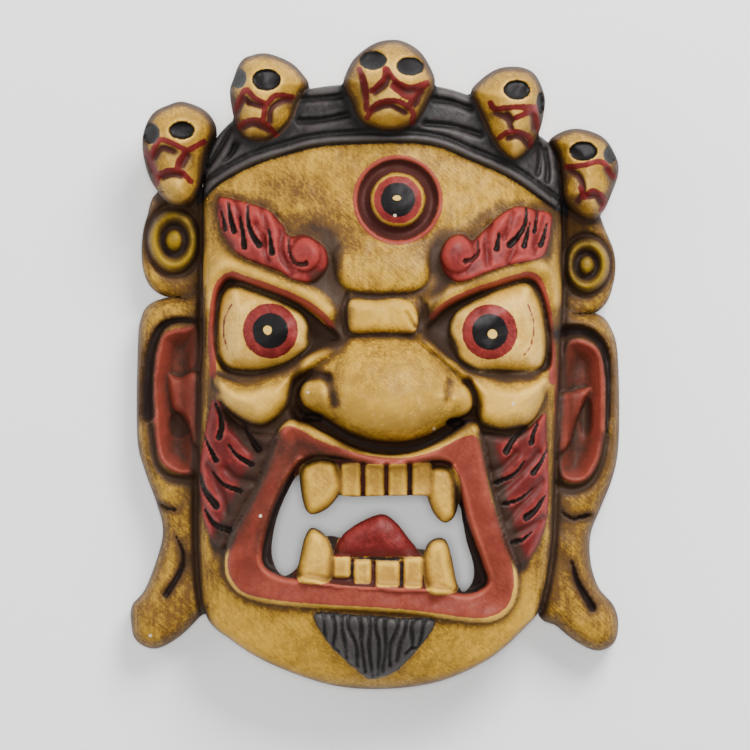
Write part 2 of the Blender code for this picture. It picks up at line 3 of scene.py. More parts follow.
import bmesh
import bpy
import numpy as np
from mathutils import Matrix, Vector


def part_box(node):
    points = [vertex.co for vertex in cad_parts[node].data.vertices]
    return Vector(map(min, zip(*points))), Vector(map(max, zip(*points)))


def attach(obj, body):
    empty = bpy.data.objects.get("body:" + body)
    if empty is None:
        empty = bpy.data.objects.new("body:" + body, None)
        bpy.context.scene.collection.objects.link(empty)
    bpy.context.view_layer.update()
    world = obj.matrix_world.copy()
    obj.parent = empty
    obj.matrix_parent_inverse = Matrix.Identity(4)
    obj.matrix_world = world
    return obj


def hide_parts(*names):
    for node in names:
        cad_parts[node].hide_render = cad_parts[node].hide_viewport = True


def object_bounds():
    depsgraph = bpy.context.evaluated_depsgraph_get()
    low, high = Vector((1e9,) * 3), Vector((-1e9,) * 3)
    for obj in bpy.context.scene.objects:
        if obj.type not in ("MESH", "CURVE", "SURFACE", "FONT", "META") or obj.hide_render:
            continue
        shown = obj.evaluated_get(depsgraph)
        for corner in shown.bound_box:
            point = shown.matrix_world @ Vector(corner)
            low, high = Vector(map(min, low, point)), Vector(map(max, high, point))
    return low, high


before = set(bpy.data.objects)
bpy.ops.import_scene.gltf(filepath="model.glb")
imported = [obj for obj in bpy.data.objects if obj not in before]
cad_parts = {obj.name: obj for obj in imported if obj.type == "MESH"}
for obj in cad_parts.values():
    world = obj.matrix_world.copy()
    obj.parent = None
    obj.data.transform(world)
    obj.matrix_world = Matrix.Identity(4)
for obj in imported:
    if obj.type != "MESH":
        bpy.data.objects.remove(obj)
cad_low, cad_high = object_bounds()


# The block of wood.
# The whole mask is cut from one half log of pale softwood, 325 mm tall: first its saw line
# and the barrel of the bare face. It is all drawn in millimetres, x to the viewer's right
# and y up.
BLOCK = [
    (-87, 84), (-85, 104), (-77.5, 118), (-65, 128), (-47, 135.5), (-25, 140.5), (6, 142),
    (30, 140.5), (48, 135.5), (66, 127), (80, 117.5), (90, 108), (93.5, 90), (94, 33),
    (92, -17), (90, -57), (88.5, -92), (83, -121), (75, -132), (57.5, -147.5), (32.5, -159),
    (5, -163), (-22.5, -161), (-52.5, -150.5), (-72.5, -138.5), (-86, -125), (-90, -92),
    (-89, -17), (-87.5, 13),
]
CREST_Y = (-170, -160, -150, -135, -115, -80, -30, 20, 60, 105, 140, 170)
CREST_Z = (24, 39, 48, 56, 61, 65, 69, 70, 67, 61, 55, 48)
FACE_MIDDLE = 2.0
FACE_HALF_WIDTH = 91.0
FACE_FLANK = 0.3
FACE_ROLL = 5.5
FACE_ARCH = 0.93


def curve(points, closed=True, steps=6):
    """A smooth line through the given points."""
    dots = np.array(points, dtype=float)
    if closed:
        dots = np.vstack([dots[-1], dots, dots[:2]])
    else:
        dots = np.vstack([2 * dots[0] - dots[1], dots, 2 * dots[-1] - dots[-2]])
    t = np.linspace(0, 1, steps, endpoint=False)[:, None]
    spans = []
    for a, b, c, d in zip(dots, dots[1:], dots[2:], dots[3:]):
        spans.append(b + 0.5 * t * (c - a + t * (2 * a - 5 * b + 4 * c - d
                                                 + t * (3 * (b - c) + d - a))))
    if closed:
        return np.vstack(spans)
    return np.vstack(spans + [dots[-2:-1]])


def bare_face(x, y):
    """The barrel of the face before its features are carved."""
    crest = np.interp(y, *curve(np.column_stack([CREST_Y, CREST_Z]), closed=False).T)
    across = FACE_ARCH * (x - FACE_MIDDLE) / FACE_HALF_WIDTH
    arch = np.sqrt(np.clip(1 - across ** 2, 0.1, 1))
    return crest * (FACE_FLANK + (1 - FACE_FLANK) * arch)


# The ears.
# Two long ears with stretched lobes, cut lower in the same block, on either side of the
# face. The rim is left ochre over a deep dark groove, the bowl is salmon with a flap in
# front of its hole, and the lobe has two gouged slits.
EARS = [
    [(-84, 34), (-97, 35.5), (-112.5, 32), (-118.5, 24), (-120.2, 8), (-120.5, -35),
     (-117, -52), (-111, -68.5), (-107.5, -82), (-109.5, -94.5), (-116.5, -113),
     (-123, -121), (-123.5, -130), (-121, -139), (-111.5, -143), (-100, -137.5),
     (-89, -127), (-80, -115), (-80, -40)],
    [(88, 26), (104, 27), (114, 25), (119, 18.5), (122, 8), (123, -17), (122.5, -42),
     (119.5, -57), (113.5, -72), (108.5, -85), (108.5, -99), (112.5, -112), (120, -121),
     (122.5, -130), (120.5, -140), (112.5, -144), (103, -140.5), (92, -132), (80, -118),
     (80, -40)],
]
BOWLS = [
    [(-109, 12), (-105, 17), (-97, 19), (-88, 17), (-88, -20), (-89, -52), (-95, -55),
     (-103, -53), (-109.5, -46), (-112, -30), (-113, -8)],
    [(94, 9), (99, 13.5), (106, 12.5), (112.5, 8), (115.5, -3), (115.5, -28), (114.5, -42),
     (108, -56), (99, -59), (91.5, -54), (90, -38), (90, -8)],
]
RIM_GROOVES = [
    [(-89, 22.5), (-101, 22.5), (-108.5, 18.5), (-113, 8), (-114.8, -8), (-114.8, -25)],
    [(116.3, -34), (117.2, -18), (117, -4), (114.8, 8), (109, 15), (101, 17.5), (91, 15.5)],
]
BOWL_FEET = [
    [(-113.5, -30), (-111, -48), (-104.5, -56), (-94, -58), (-89, -57.5)],
    [(116, -36), (113.5, -50), (107, -60), (98, -62.5), (91, -60)],
]
FLAPS = [
    [(-104.5, -5), (-99, -5.5), (-88, -5), (-88, -38), (-91.5, -40), (-94, -32),
     (-98, -26), (-103, -20)],
    [(90, -17), (98, -13), (107.5, -11), (106.5, -17), (101.5, -27), (98.5, -38),
     (93.5, -44), (90, -45)],
]
EAR_HOLES = [(-99, -30, 6, 7), (106, -26, 3.5, 11)]
LOBE_SLITS = [
    ([(-109, -69.5), (-105, -71.8), (-101, -72.5)], 1.8),
    ([(93, -73.5), (99, -77), (107, -75.5)], 2.4),
    ([(-100.5, -86), (-97.2, -94), (-98, -103), (-105.5, -115.5)], 3.2),
    ([(98.5, -98), (101.5, -109), (109, -122)], 4.2),
]
EAR_LEVEL = 14.0
EAR_RISE = 14.0
EAR_LEAN = 0.12
RIM_GROOVE_WIDTH = 7.5
RIM_GROOVE_SIDE = 3.8
RIM_GROOVE_DEPTH = 7
BOWL_DEPTH = 7.5
FLAP_RISE = 6.5
HOLE_DEPTH = 2.5
FAR = 60.0
STROKE_REACH = 12.0
TAPER_START = 0.25
TAPER_GROWTH = 0.8
GOUGE_DEPTH = 4.5


def distance(x, y, line, reach=FAR):
    """Distance from each point to a line, up to the given reach."""
    low = line.min(axis=0) - reach
    high = line.max(axis=0) + reach
    close = (x > low[0]) & (x < high[0]) & (y > low[1]) & (y < high[1])
    px = x[close]
    py = y[close]
    best = np.full(px.shape, reach * reach)
    for (ax, ay), (bx, by) in zip(line, line[1:]):
        span = max((bx - ax) ** 2 + (by - ay) ** 2, 1e-9)
        t = np.clip(((px - ax) * (bx - ax) + (py - ay) * (by - ay)) / span, 0, 1)
        gap = (px - ax - t * (bx - ax)) ** 2 + (py - ay - t * (by - ay)) ** 2
        best = np.minimum(best, gap)
    result = np.full(x.shape, float(reach))
    result[close] = np.sqrt(best)
    return result


def depth_inside(x, y, points, reach=FAR):
    """Distance to a closed outline, positive inside it and negative outside."""
    line = curve(points)
    ring = np.vstack([line, line[:1]])
    within = np.zeros(x.shape, dtype=bool)
    for (ax, ay), (bx, by) in zip(ring, ring[1:]):
        if ay != by:
            crosses = (ay > y) != (by > y)
            within ^= crosses & (x < ax + (y - ay) * (bx - ax) / (by - ay))
    return np.where(within, 1, -1) * distance(x, y, ring, reach)


def ramp(t):
    """A smooth step from 0 to 1."""
    t = np.clip(t, 0, 1)
    return t * t * (3 - 2 * t)


def swell(t):
    """A quarter round that rises steeply from 0 and levels out at 1."""
    return np.sqrt(1 - (1 - np.clip(t, 0, 1)) ** 2)


def bell(t):
    """A soft peak of height 1 at 0."""
    return np.exp(-t * t)


def ball(x, y, middle_x, middle_y, half_x, half_y):
    """The upper half of an ellipsoid of height 1."""
    return np.sqrt(np.clip(1 - ((x - middle_x) / half_x) ** 2
                           - ((y - middle_y) / half_y) ** 2, 0, 1))


def cut(x, y, points, width, depth):
    """A gouge cut along an open line, as a change of height."""
    line = curve(points, closed=False)
    return -depth * bell(distance(x, y, line, 4 * width) / width)


def stroke(x, y, points, width):
    """A brush stroke along an open line, as the depth inside its edge."""
    line = curve(points, closed=False)
    return width / 2 - distance(x, y, line, STROKE_REACH)


def taper(x, y, points, width):
    """Depth inside a gouge cut that starts narrow and ends in a full round."""
    line = curve(points, closed=False)
    steps = len(line) - 1
    best = np.full(x.shape, -STROKE_REACH)
    low = line.min(axis=0) - STROKE_REACH
    high = line.max(axis=0) + STROKE_REACH
    close = (x > low[0]) & (x < high[0]) & (y > low[1]) & (y < high[1])
    px = x[close]
    py = y[close]
    inside = np.full(px.shape, -STROKE_REACH)
    for step, ((ax, ay), (bx, by)) in enumerate(zip(line, line[1:])):
        span = max((bx - ax) ** 2 + (by - ay) ** 2, 1e-9)
        t = np.clip(((px - ax) * (bx - ax) + (py - ay) * (by - ay)) / span, 0, 1)
        gap = np.hypot(px - ax - t * (bx - ax), py - ay - t * (by - ay))
        growth = ((step + t) / steps) ** TAPER_GROWTH
        radius = width / 2 * (TAPER_START + (1 - TAPER_START) * growth)
        inside = np.maximum(inside, radius - gap)
    best[close] = inside
    return best


def gouge(x, y, rows):
    """Tapered gouge cuts along lines, each with its own width, as a change of height."""
    height = np.zeros(x.shape)
    for points, width in rows:
        height -= GOUGE_DEPTH * swell(taper(x, y, points, width) / (width / 2))
    return height


def oval_radius(x, y, oval):
    """Distance from the middle of an oval, as a share of its rim."""
    middle_x, middle_y, half_x, half_y = oval
    return np.hypot((x - middle_x) / half_x, (y - middle_y) / half_y)


def ear_depth(x, y):
    """Depth inside either ear."""
    return np.maximum(depth_inside(x, y, EARS[0]), depth_inside(x, y, EARS[1]))


def carve_ears(x, y):
    """The low ground beside the face, with both ears standing out of it."""
    height = EAR_LEVEL + EAR_RISE * swell(ear_depth(x, y) / 9)
    for line in RIM_GROOVES:
        groove = taper(x, y, line, RIM_GROOVE_WIDTH)
        height -= RIM_GROOVE_DEPTH * swell(groove / RIM_GROOVE_SIDE)
    for line in BOWL_FEET:
        height += cut(x, y, line, 2.0, 3)
    for outline in BOWLS:
        edge = depth_inside(x, y, outline)
        height += 1.5 * bell((edge - 1.5) / 1.5) - BOWL_DEPTH * ramp((edge - 2) / 9)
    for outline in FLAPS:
        height += FLAP_RISE * swell(depth_inside(x, y, outline) / 4)
    for hole in EAR_HOLES:
        height -= HOLE_DEPTH * ball(x, y, *hole)
    height += gouge(x, y, LOBE_SLITS)
    return height - EAR_LEAN * np.clip(np.abs(x) - 92, 0, 40)


def paint_ears(x, y, paint):
    """Salmon bowls, and brown in every groove."""
    for outline in BOWLS:
        paint("salmon", depth_inside(x, y, outline))
    for line in RIM_GROOVES:
        paint("dark", taper(x, y, line, 4.2))
        paint("wash", taper(x, y, line, 6))
    for hole in EAR_HOLES:
        paint("wash", (1 - oval_radius(x, y, hole)) * 4 - 3.2)
    for line in BOWL_FEET:
        paint("wash", stroke(x, y, line, 3.4))
    for line, width in LOBE_SLITS:
        paint("dark", taper(x, y, line, width) - 0.4)
        paint("wash", taper(x, y, line, width) + 0.5)
    beside = np.minimum(ear_depth(x, y), 0.8 - np.abs(depth_inside(x, y, BLOCK) + 0.5))
    paint("wash", beside)
    for outline in BOWLS:
        paint("shade", np.minimum(depth_inside(x, y, outline) - 5, 3))
    paint("shade", np.minimum(ear_depth(x, y) + 1.5, 4))


# The disc earrings.
# A round ear ornament above each ear, cut with the head of the ear: a raised ring and
# a boss, both painted yellow, with a dark groove between and round them.
DISC_LOBES = [
    [(-109, 88), (-115.5, 75), (-118, 63), (-117.5, 49), (-113, 39), (-103, 34),
     (-84, 33), (-80, 60), (-84, 88)],
    [(108, 84), (116, 68), (120.5, 56), (120.5, 44), (116, 31), (106, 25), (88, 25),
     (85, 55), (90, 84)],
]
DISCS = [(-101.6, 63, 12.4, 15.7), (106.2, 50.6, 11, 13.4)]
# Radii as shares of the disc's rim.
DISC_RING = 0.79
DISC_RING_HALF = 0.22
DISC_BOSS = 0.36
INNER_GROOVE = 0.47
OUTER_GROOVE = 1.13
NEAR = 0.5


def carve_discs(x, y, height):
    """The ringed discs on their lobes."""
    for outline, disc in zip(DISC_LOBES, DISCS):
        edge = depth_inside(x, y, outline)
        radius = oval_radius(x, y, disc)
        slab = EAR_LEVEL + 8 * swell(edge / 6)
        slab += 5 * bell((radius - DISC_RING) / 0.2)
        slab -= 2.5 * bell((radius - OUTER_GROOVE) / 0.1)
        slab -= 2 * bell((radius - INNER_GROOVE) / 0.1)
        slab += 5.5 * swell((DISC_BOSS - radius) / DISC_BOSS)
        height = np.where(edge > -NEAR, np.maximum(height, slab), height)
    return height


def paint_discs(x, y, paint):
    """Yellow rings and bosses in brown grooves."""
    for outline, disc in zip(DISC_LOBES, DISCS):
        radius = oval_radius(x, y, disc)
        paint("yellow", (DISC_RING_HALF - np.abs(radius - DISC_RING)) * disc[2])
        paint("yellow", (DISC_BOSS - radius) * disc[2])
        paint("dark", (0.05 - np.abs(radius - INNER_GROOVE)) * disc[2])
        paint("shade", np.minimum(depth_inside(x, y, outline) + 1, 2.5))
        paint("wash", 1.0 - np.abs(radius - INNER_GROOVE) * disc[2])
        paint("wash", 0.8 - np.abs(radius - OUTER_GROOVE) * disc[2])


# The brows.
# Flaming brows in red, raised on the forehead. Each is cut into locks with a veiner and
# ends at the nose in a round curl, where the paint is rubbed pink and lightened by a
# painted highlight.
BROWS = [
    [(-78.5, 84), (-72, 83.5), (-63, 81), (-53.5, 77.5), (-46.5, 70.5), (-43, 64.5),
     (-35, 65), (-26, 59.5), (-23.5, 51.5), (-26.5, 44.5), (-32.5, 41), (-41, 42.5),
     (-48, 46.5), (-57, 50), (-66.5, 54), (-73.5, 60), (-78, 69), (-79.5, 77)],
    [(32, 56), (36, 63), (42.5, 65.5), (48, 62.5), (51.5, 65), (60.5, 74), (66.5, 78),
     (72, 79.7), (80.5, 78), (87, 76.5), (88.5, 72), (86, 58), (81.5, 53), (68, 50),
     (55.5, 46), (47.5, 42.5), (40.5, 41.3), (35, 44.5), (32.3, 50)],
]
BROW_CUTS = [
    ([(-77.3, 77.5), (-76, 73), (-75, 68)], 2.2), ([(-73.8, 82), (-72.8, 75), (-70.8, 67)], 3.0),
    ([(-68, 75), (-66.3, 66), (-65.6, 59)], 3.0),
    ([(-64, 80), (-63.6, 71), (-61.2, 64.5), (-58, 60)], 3.4),
    ([(-53.3, 68), (-52.3, 61), (-51.6, 56)], 3.0),
    ([(61.6, 66.5), (61, 62), (60.3, 58)], 2.8),
    ([(75.3, 79), (74.6, 71), (71, 64.5), (66.8, 60)], 3.4),
    ([(76.8, 71), (75.4, 64.5), (74, 59.5)], 2.6), ([(85.5, 71), (84, 64.5), (82.4, 60)], 2.6),
    ([(80.6, 77), (80, 71), (79.2, 66.5)], 1.8),
]
BROW_CREASES = [
    [(-78, 79), (-76.5, 68), (-72, 60)], [(-70, 82), (-68.5, 75), (-68, 66)],
    [(-57, 78), (-55, 71), (-55.5, 62), (-54, 52)], [(-50, 74), (-47, 66), (-47, 56), (-42, 46)],
    [(-60, 70), (-58, 66), (-55, 60)], [(80.4, 77), (79.6, 70), (79, 60)],
    [(68, 76), (66, 70), (64, 64)], [(57, 70), (55, 62), (56, 50)],
    [(70, 62), (68, 56), (66, 51)], [(84, 74), (82, 66), (79, 56)],
]
BROW_CURLS = [(-35, 55, 7.5, 8.5), (40.5, 55.5, 8, 9.5)]
CURL_CUTS = [
    ([(-43.6, 63.5), (-43, 57), (-40.5, 51.5), (-37, 50), (-34.5, 50.6)], 2.6),
    ([(50.5, 62), (51, 56), (48, 52.8), (44.5, 51.8)], 2.6),
]
BROW_WASHES = [
    ([(-36, 70), (-27, 67), (-21, 60), (-20, 50), (-24, 41)], 6),
    ([(-43, 72), (-36, 75), (-27, 74)], 2), ([(33, 66), (29, 57), (30, 47), (35, 40)], 4.5),
    ([(46, 67.5), (55, 76), (62, 81)], 3),
]
BROW_SHADES = [
    ([(-52, 90), (-34, 84), (-22, 74), (-16, 60)], 16), ([(-84, 95), (-82, 70), (-84, 40)], 6),
    ([(88, 90), (90, 60), (92, 30)], 6), ([(28, 76), (24, 62), (26, 50)], 8),
]
BROW_RISE = 7.5
CURL_RISE = 5.0


def paint_lines(x, y, paint, layer, rows, strength=1.0, shift=0.0):
    """Brush strokes of one layer along lines, each with its own width."""
    for points, width in rows:
        paint(layer, strength * stroke(x, y, points, width) + shift)


def carve_brows(x, y):
    """The raised brows with their locks and curls."""
    height = np.zeros(x.shape)
    for outline in BROWS:
        height += BROW_RISE * swell(depth_inside(x, y, outline) / 5)
    for curl in BROW_CURLS:
        height += CURL_RISE * ball(x, y, *curl)
    for line in BROW_CREASES:
        height += cut(x, y, line, 1.8, 2.2)
    return height + gouge(x, y, BROW_CUTS + CURL_CUTS)


def paint_brows(x, y, paint):
    """Red brows, with black-brown in the cuts and brown round the curls."""
    for outline in BROWS:
        edge = depth_inside(x, y, outline)
        paint("red", edge)
        paint("wash", 0.8 - np.abs(edge + 1.5))
    for line, width in BROW_CUTS:
        paint("dark", taper(x, y, line, width) + 0.1)
    for line, width in CURL_CUTS:
        paint("maroon", taper(x, y, line, width))
    paint_lines(x, y, paint, "wash", BROW_WASHES, shift=-0.5)
    paint_lines(x, y, paint, "shade", BROW_SHADES, strength=0.6)


# The eyes.
# Two eyes bulge out of deep dark sockets. A ledge of flesh hangs over each, with its
# inner wall painted salmon. A third eye stands in the middle of the forehead, in a
# maroon groove and a red ring. Irises, pupils and glints are painted on.
SOCKETS = [
    [(-79, 36), (-74, 43), (-68, 42), (-57, 37.5), (-42, 32), (-32, 26.5), (-22, 17.5),
     (-18.5, 12.5), (-25, 9.5), (-33, 5.5), (-41, 0.5), (-48, -2.5), (-60, -4.5), (-75, -2.5),
     (-79.5, 6), (-80.5, 22)],
    [(25, 15.5), (30, 24), (38, 30.5), (52.5, 36.5), (65, 40.5), (74, 43), (79.5, 41),
     (84, 31), (87, 13), (86.5, -1), (76, -4), (62.5, -4.5), (47.5, -3.5), (36, 4)],
]
EYEBALLS = [
    [(-79, 6), (-79.7, 22), (-77.5, 35), (-70, 41), (-57, 37), (-45, 32), (-36, 25.5),
     (-32.5, 16), (-34, 8.5), (-42, 2), (-50, -1.5), (-60, -3.6), (-73, -2)],
    [(36.5, 16.5), (39.5, 26.5), (50, 33.5), (62, 38.8), (75, 42), (82, 36), (85.8, 20),
     (86, 5), (80, -3.5), (64, -4.2), (50, -3), (39.5, 6)],
]
EYEBALL_ROUND = 15.0
LIDS = [
    [(-81.5, -5), (-82, 8), (-81.8, 22), (-79.5, 38), (-73, 45), (-65, 42.8), (-53, 38.7),
     (-42, 34.3), (-32, 29), (-24, 22), (-20, 15)],
    [(88.3, -8), (88.5, 6), (87, 22), (83, 39), (77.5, 45), (68, 43), (55.5, 39),
     (44, 34.8), (35, 30), (28, 24)],
]
LEDGES = [
    [(-86, 30), (-83, 44), (-76, 50), (-65, 47.5), (-53, 43), (-42, 39), (-32, 34),
     (-24, 27)],
    [(91, 32), (87, 46), (78, 50.5), (67, 47.5), (55, 43.5), (44, 39.5), (35, 35),
     (29, 31)],
]
LEDGE_RISE = 6.5
SOCKET_DEPTH = 10.0
EYEBALL_RISE = 18.0
IRISES = [(-52.5, 17.2, 13.8, 8.9), (56.8, 16.7, 13.8, 9.0)]
GLINTS = [(-53.8, 17.6, 2.2, 2.2), (58, 15.6, 2.3, 2.3), (10.5, 83.3, 2.1, 1.3)]
EYE_VEINS = [
    [(-72, 30.5), (-75.5, 23), (-76, 15.5), (-74, 8)],
    [(76, 30.5), (79, 20.5), (77.5, 10.5), (74, 5)],
]
SOCKET_WASHES = [
    ([(-29, 44), (-22, 38), (-17, 30), (-17, 21), (-19, 13)], 9),
    ([(-21, 13), (-25, 14), (-30, 15)], 9), ([(-26, 9), (-34, 4.5), (-44, -1.5)], 3),
    ([(-44, -3), (-60, -5.5), (-77, -4)], 2.5), ([(-80, 3), (-80.3, 20), (-77.5, 38)], 2),
    ([(-74, 41), (-62, 38.5), (-50, 34.5), (-38, 28.5)], 3),
    ([(35, 42), (31, 36), (27, 30), (24, 22), (26, 15)], 7),
    ([(28, 17), (32, 14), (37, 8)], 9), ([(42, 0), (52, -4), (64, -5.5), (80, -5)], 3.5),
    ([(33, 25), (42, 31), (54, 36)], 3), ([(79, 41), (85, 28), (86.3, 12), (85, 0)], 2.5),
]
THIRD_EYE = (11, 82.5)
THIRD_RING = 21.2
THIRD_GROOVE = 17.0
THIRD_BALL = 13.8
THIRD_IRIS = 12.0
THIRD_PUPIL = 8.6


def third_radius(x, y):
    """Distance from the middle of the third eye."""
    return np.hypot(x - THIRD_EYE[0], y - THIRD_EYE[1])


def carve_eyes(x, y):
    """The ledges, the sockets, the eyeballs, and the third eye."""
    height = np.zeros(x.shape)
    for line in LEDGES:
        ledge = curve(line, closed=False)
        height += LEDGE_RISE * bell(distance(x, y, ledge, 18) / 5.5)
    for outline, eyeball in zip(SOCKETS, EYEBALLS):
        socket = depth_inside(x, y, outline)
        height -= SOCKET_DEPTH * ramp((socket + 2) / 4)
        height += EYEBALL_RISE * swell(depth_inside(x, y, eyeball) / EYEBALL_ROUND)
    radius = third_radius(x, y)
    height += 1.5 * bell((radius - THIRD_RING) / 1.5)
    height -= 5 * bell((radius - THIRD_GROOVE) / 2.6)
    return height + 6 * swell((THIRD_BALL - radius) / THIRD_BALL)


def paint_eyes(x, y, paint):
    """Lids, irises, pupils and glints, with brown and painted shade in the sockets and round the
    edges of the eyeballs.
    """
    for line in LIDS:
        paint("lid", stroke(x, y, line, 3.6))
    paint_lines(x, y, paint, "wash", SOCKET_WASHES, strength=1.3)
    for outline, eyeball in zip(SOCKETS, EYEBALLS):
        socket = depth_inside(x, y, outline)
        sclera = depth_inside(x, y, eyeball)
        paint("eyeball", sclera)
        paint("shade", np.minimum(sclera + 1, 4 - 0.8 * sclera))
        # The socket floor round the eyeball, in the brown of the wash: painted shade in the deep
        # socket.
        paint("corner", np.minimum(socket, -sclera) - 0.4)
        paint("wash", -0.4 - np.abs(sclera))
    for middle_x, middle_y, iris, pupil in IRISES:
        radius = np.hypot(x - middle_x, y - middle_y)
        paint("red", iris - radius)
        paint("ink", pupil - radius)
    for line in EYE_VEINS:
        paint("red", stroke(x, y, line, 0.8))
    radius = third_radius(x, y)
    paint("lid", 1.3 - np.abs(radius - THIRD_RING))
    paint("maroon", 3.3 - np.abs(radius - THIRD_GROOVE))
    paint("wash", 1.2 - np.abs(radius - THIRD_GROOVE + 1.5))
    paint("red", THIRD_IRIS - radius)
    paint("ink", THIRD_PUPIL - radius)
    for glint in GLINTS:
        paint("gold", (1 - oval_radius(x, y, glint)) * glint[2])


# The nose and the bags under the eyes.
# A broad snub nose, the highest part of the face, flows sideways into a fold under each
# eye and the full bags of flesh below. A knitted bulge hangs between the brows, over a
# short roll of flesh. The left wing of the nose is a scroll, the right one a soft lump.
GLABELLA = [(-19, 60), (-20.5, 48), (-17, 40), (-8, 36), (6, 35.5), (20, 37), (26, 42),
            (27, 52), (25, 62), (4, 68)]
NOSE_ROLL = [(-12.5, 33), (-15, 25), (-12, 16), (2, 15.3), (18, 15.5), (21.5, 22),
             (18.5, 31), (10, 34), (0, 32.8)]
ROLL_CREASES = [[(15.3, 26.5), (17, 23.5), (19.5, 19.5)], [(22.5, 33), (23, 25), (21.5, 17)],
                [(25, 30), (25.5, 24), (23.5, 17.5)], [(-14, 36), (-16.5, 26), (-15, 16)]]
NOSE = [(-16, 13), (3, 15), (21, 13), (34, 3), (46, -9), (49, -18), (44, -25), (35, -30),
        (22, -36.5), (5, -38.5), (-12, -35), (-24, -28), (-35, -21), (-38, -12), (-33, -3),
        (-25, 5)]
FOLDS = [
    [(-76, -15), (-62, -13), (-49, -8), (-39, -1.5), (-29, 3.5), (-19, 8)],
    [(84, -10), (66, -12.5), (52, -8), (42, -1.5), (33, 6), (24, 11.5)],
]
BAGS = [
    [(-81, -5), (-66, -9), (-52, -6), (-41, -2), (-40.5, -9), (-44, -21), (-56.5, -30.5),
     (-70, -26), (-78, -18)],
    [(45, -3), (56, -7), (70, -9), (84, -5), (87, -10), (80, -26), (72.5, -31), (62.5, -32.5),
     (52, -29.5), (48, -18)],
]
BAG_CRESTS = [
    [(-76, -17), (-66, -16), (-56, -12.5), (-46, -6), (-38, -1.5)],
    [(48, -5), (56, -10), (66, -14), (79, -12)],
]
NOSE_WINGS = [(-29.5, -14, 8.5, 8), (42, -17, 7, 8.5)]
WING_CUTS = [
    [(-38, -27), (-41, -20), (-40.5, -12), (-36.5, -6.5), (-30, -5), (-24, -6)],
    [(46, -8.5), (49, -14), (50.5, -20), (49.5, -27)],
]
WING_DENTS = [[(-23.5, -6), (-22.5, -12), (-20.5, -19)], [(37, -8), (36, -12), (35.5, -17)]]
WING_CUT_WIDTH = 2.6
WING_CUT_DEPTHS = (5, 3.5)
NOSTRILS = [(-31.5, -26.2, 5.5, 2.1), (39.5, -28.4, 4.8, 2.6)]
NOSE_SHADOW = [(-38, -23), (-27, -27.5), (-15, -35), (-3, -40), (10, -41.5), (22, -40),
               (34, -34.5), (46, -27.5)]
NOSE_WASHES = [
    (NOSE_SHADOW, 3), (WING_CUTS[0], 3.6), (WING_CUTS[1], 2.6), (WING_DENTS[0], 2.4),
    (WING_DENTS[1], 0.5), ([(-44, -22), (-38, -26), (-27, -30), (-16, -37)], 4),
    ([(49, -25), (44, -32), (33, -38)], 3.4), ([(-18, 33), (-16, 25), (-16, 17), (-20, 10)], 6),
    ([(-14, 14.5), (3, 15), (20, 14.5)], 1), ([(-14, 35), (2, 34.5), (20, 36), (25, 38)], 2.5),
    ([(23, 33), (24, 25), (22, 17)], 4), ([(-80, -8), (-79, -18), (-73, -27)], 3),
    ([(-70, -28), (-57, -32.5), (-46, -28)], 5), ([(53, -31), (63, -34), (73, -33)], 4),
]
NOSE_SHADES = [
    ([(-82, -5), (-70, -9), (-61, -9), (-50, -6), (-40, -1)], 10),
    ([(46, -2), (60, -7), (74, -7.5), (86, -4)], 7), ([(-18, 10), (-22, 4), (-27, -1)], 9),
    ([(-15, 9), (-19, -4), (-20, -20)], 9), ([(24, 12), (33, 3), (40, -5)], 7),
    ([(-20, -26), (0, -36), (22, -36)], 5),
]
GLABELLA_RISE = 6.0
ROLL_RISE = 8.0
NOSE_RISE = 21.0
NOSE_TIP = (5, -19, 20, 16)
NOSE_TIP_RISE = 8.0
FOLD_RISE = 10.0
BAG_RISE = 15.0
WING_RISE = 16


def blend_up(first, second, soft):
    """The higher of two surfaces, filled a little where they meet and are both raised."""
    nearness = np.clip(1 - np.abs(first - second) / soft, 0, 1)
    raised = np.clip(np.minimum(first, second) / soft, 0, 1)
    return np.maximum(first, second) + 0.25 * soft * nearness ** 2 * raised


def carve_nose(x, y):
    """The bulge between the brows, the roll, the nose, the folds and the bags."""
    bulge = GLABELLA_RISE * swell(depth_inside(x, y, GLABELLA) / 9)
    height = bulge * ramp((66 - y) / 20)
    height += ROLL_RISE * swell(depth_inside(x, y, NOSE_ROLL) / 6.5)
    for line in ROLL_CREASES:
        height += cut(x, y, line, 1.0, 2)
    body = depth_inside(x, y, NOSE)
    middle = NOSE_RISE * swell(body / 21) ** 1.15 * (1 - 0.25 * ramp((y + 5) / 20))
    for line in FOLDS:
        fold = curve(line, closed=False)
        middle = blend_up(middle, FOLD_RISE * bell(distance(x, y, fold, 18) / 5.0), 3.0)
    for outline in BAGS:
        middle = blend_up(middle, BAG_RISE * swell(depth_inside(x, y, outline) / 11), 1.5)
    for line in BAG_CRESTS:
        crest = curve(line, closed=False)
        middle += 1.8 * bell(distance(x, y, crest, 12) / 3.5)
    middle += NOSE_TIP_RISE * bell(oval_radius(x, y, NOSE_TIP)) * ramp(body / 8)
    for wing in NOSE_WINGS:
        middle = blend_up(middle, WING_RISE * ball(x, y, *wing) ** 0.6, 2)
    height += middle
    for line, depth in zip(WING_CUTS, WING_CUT_DEPTHS):
        height += cut(x, y, line, WING_CUT_WIDTH, depth)
    for line in WING_DENTS:
        height += cut(x, y, line, WING_CUT_WIDTH, 3)
    for nostril in NOSTRILS:
        height -= 8 * ball(x, y, *nostril)
    return height + cut(x, y, NOSE_SHADOW, 3, 6)


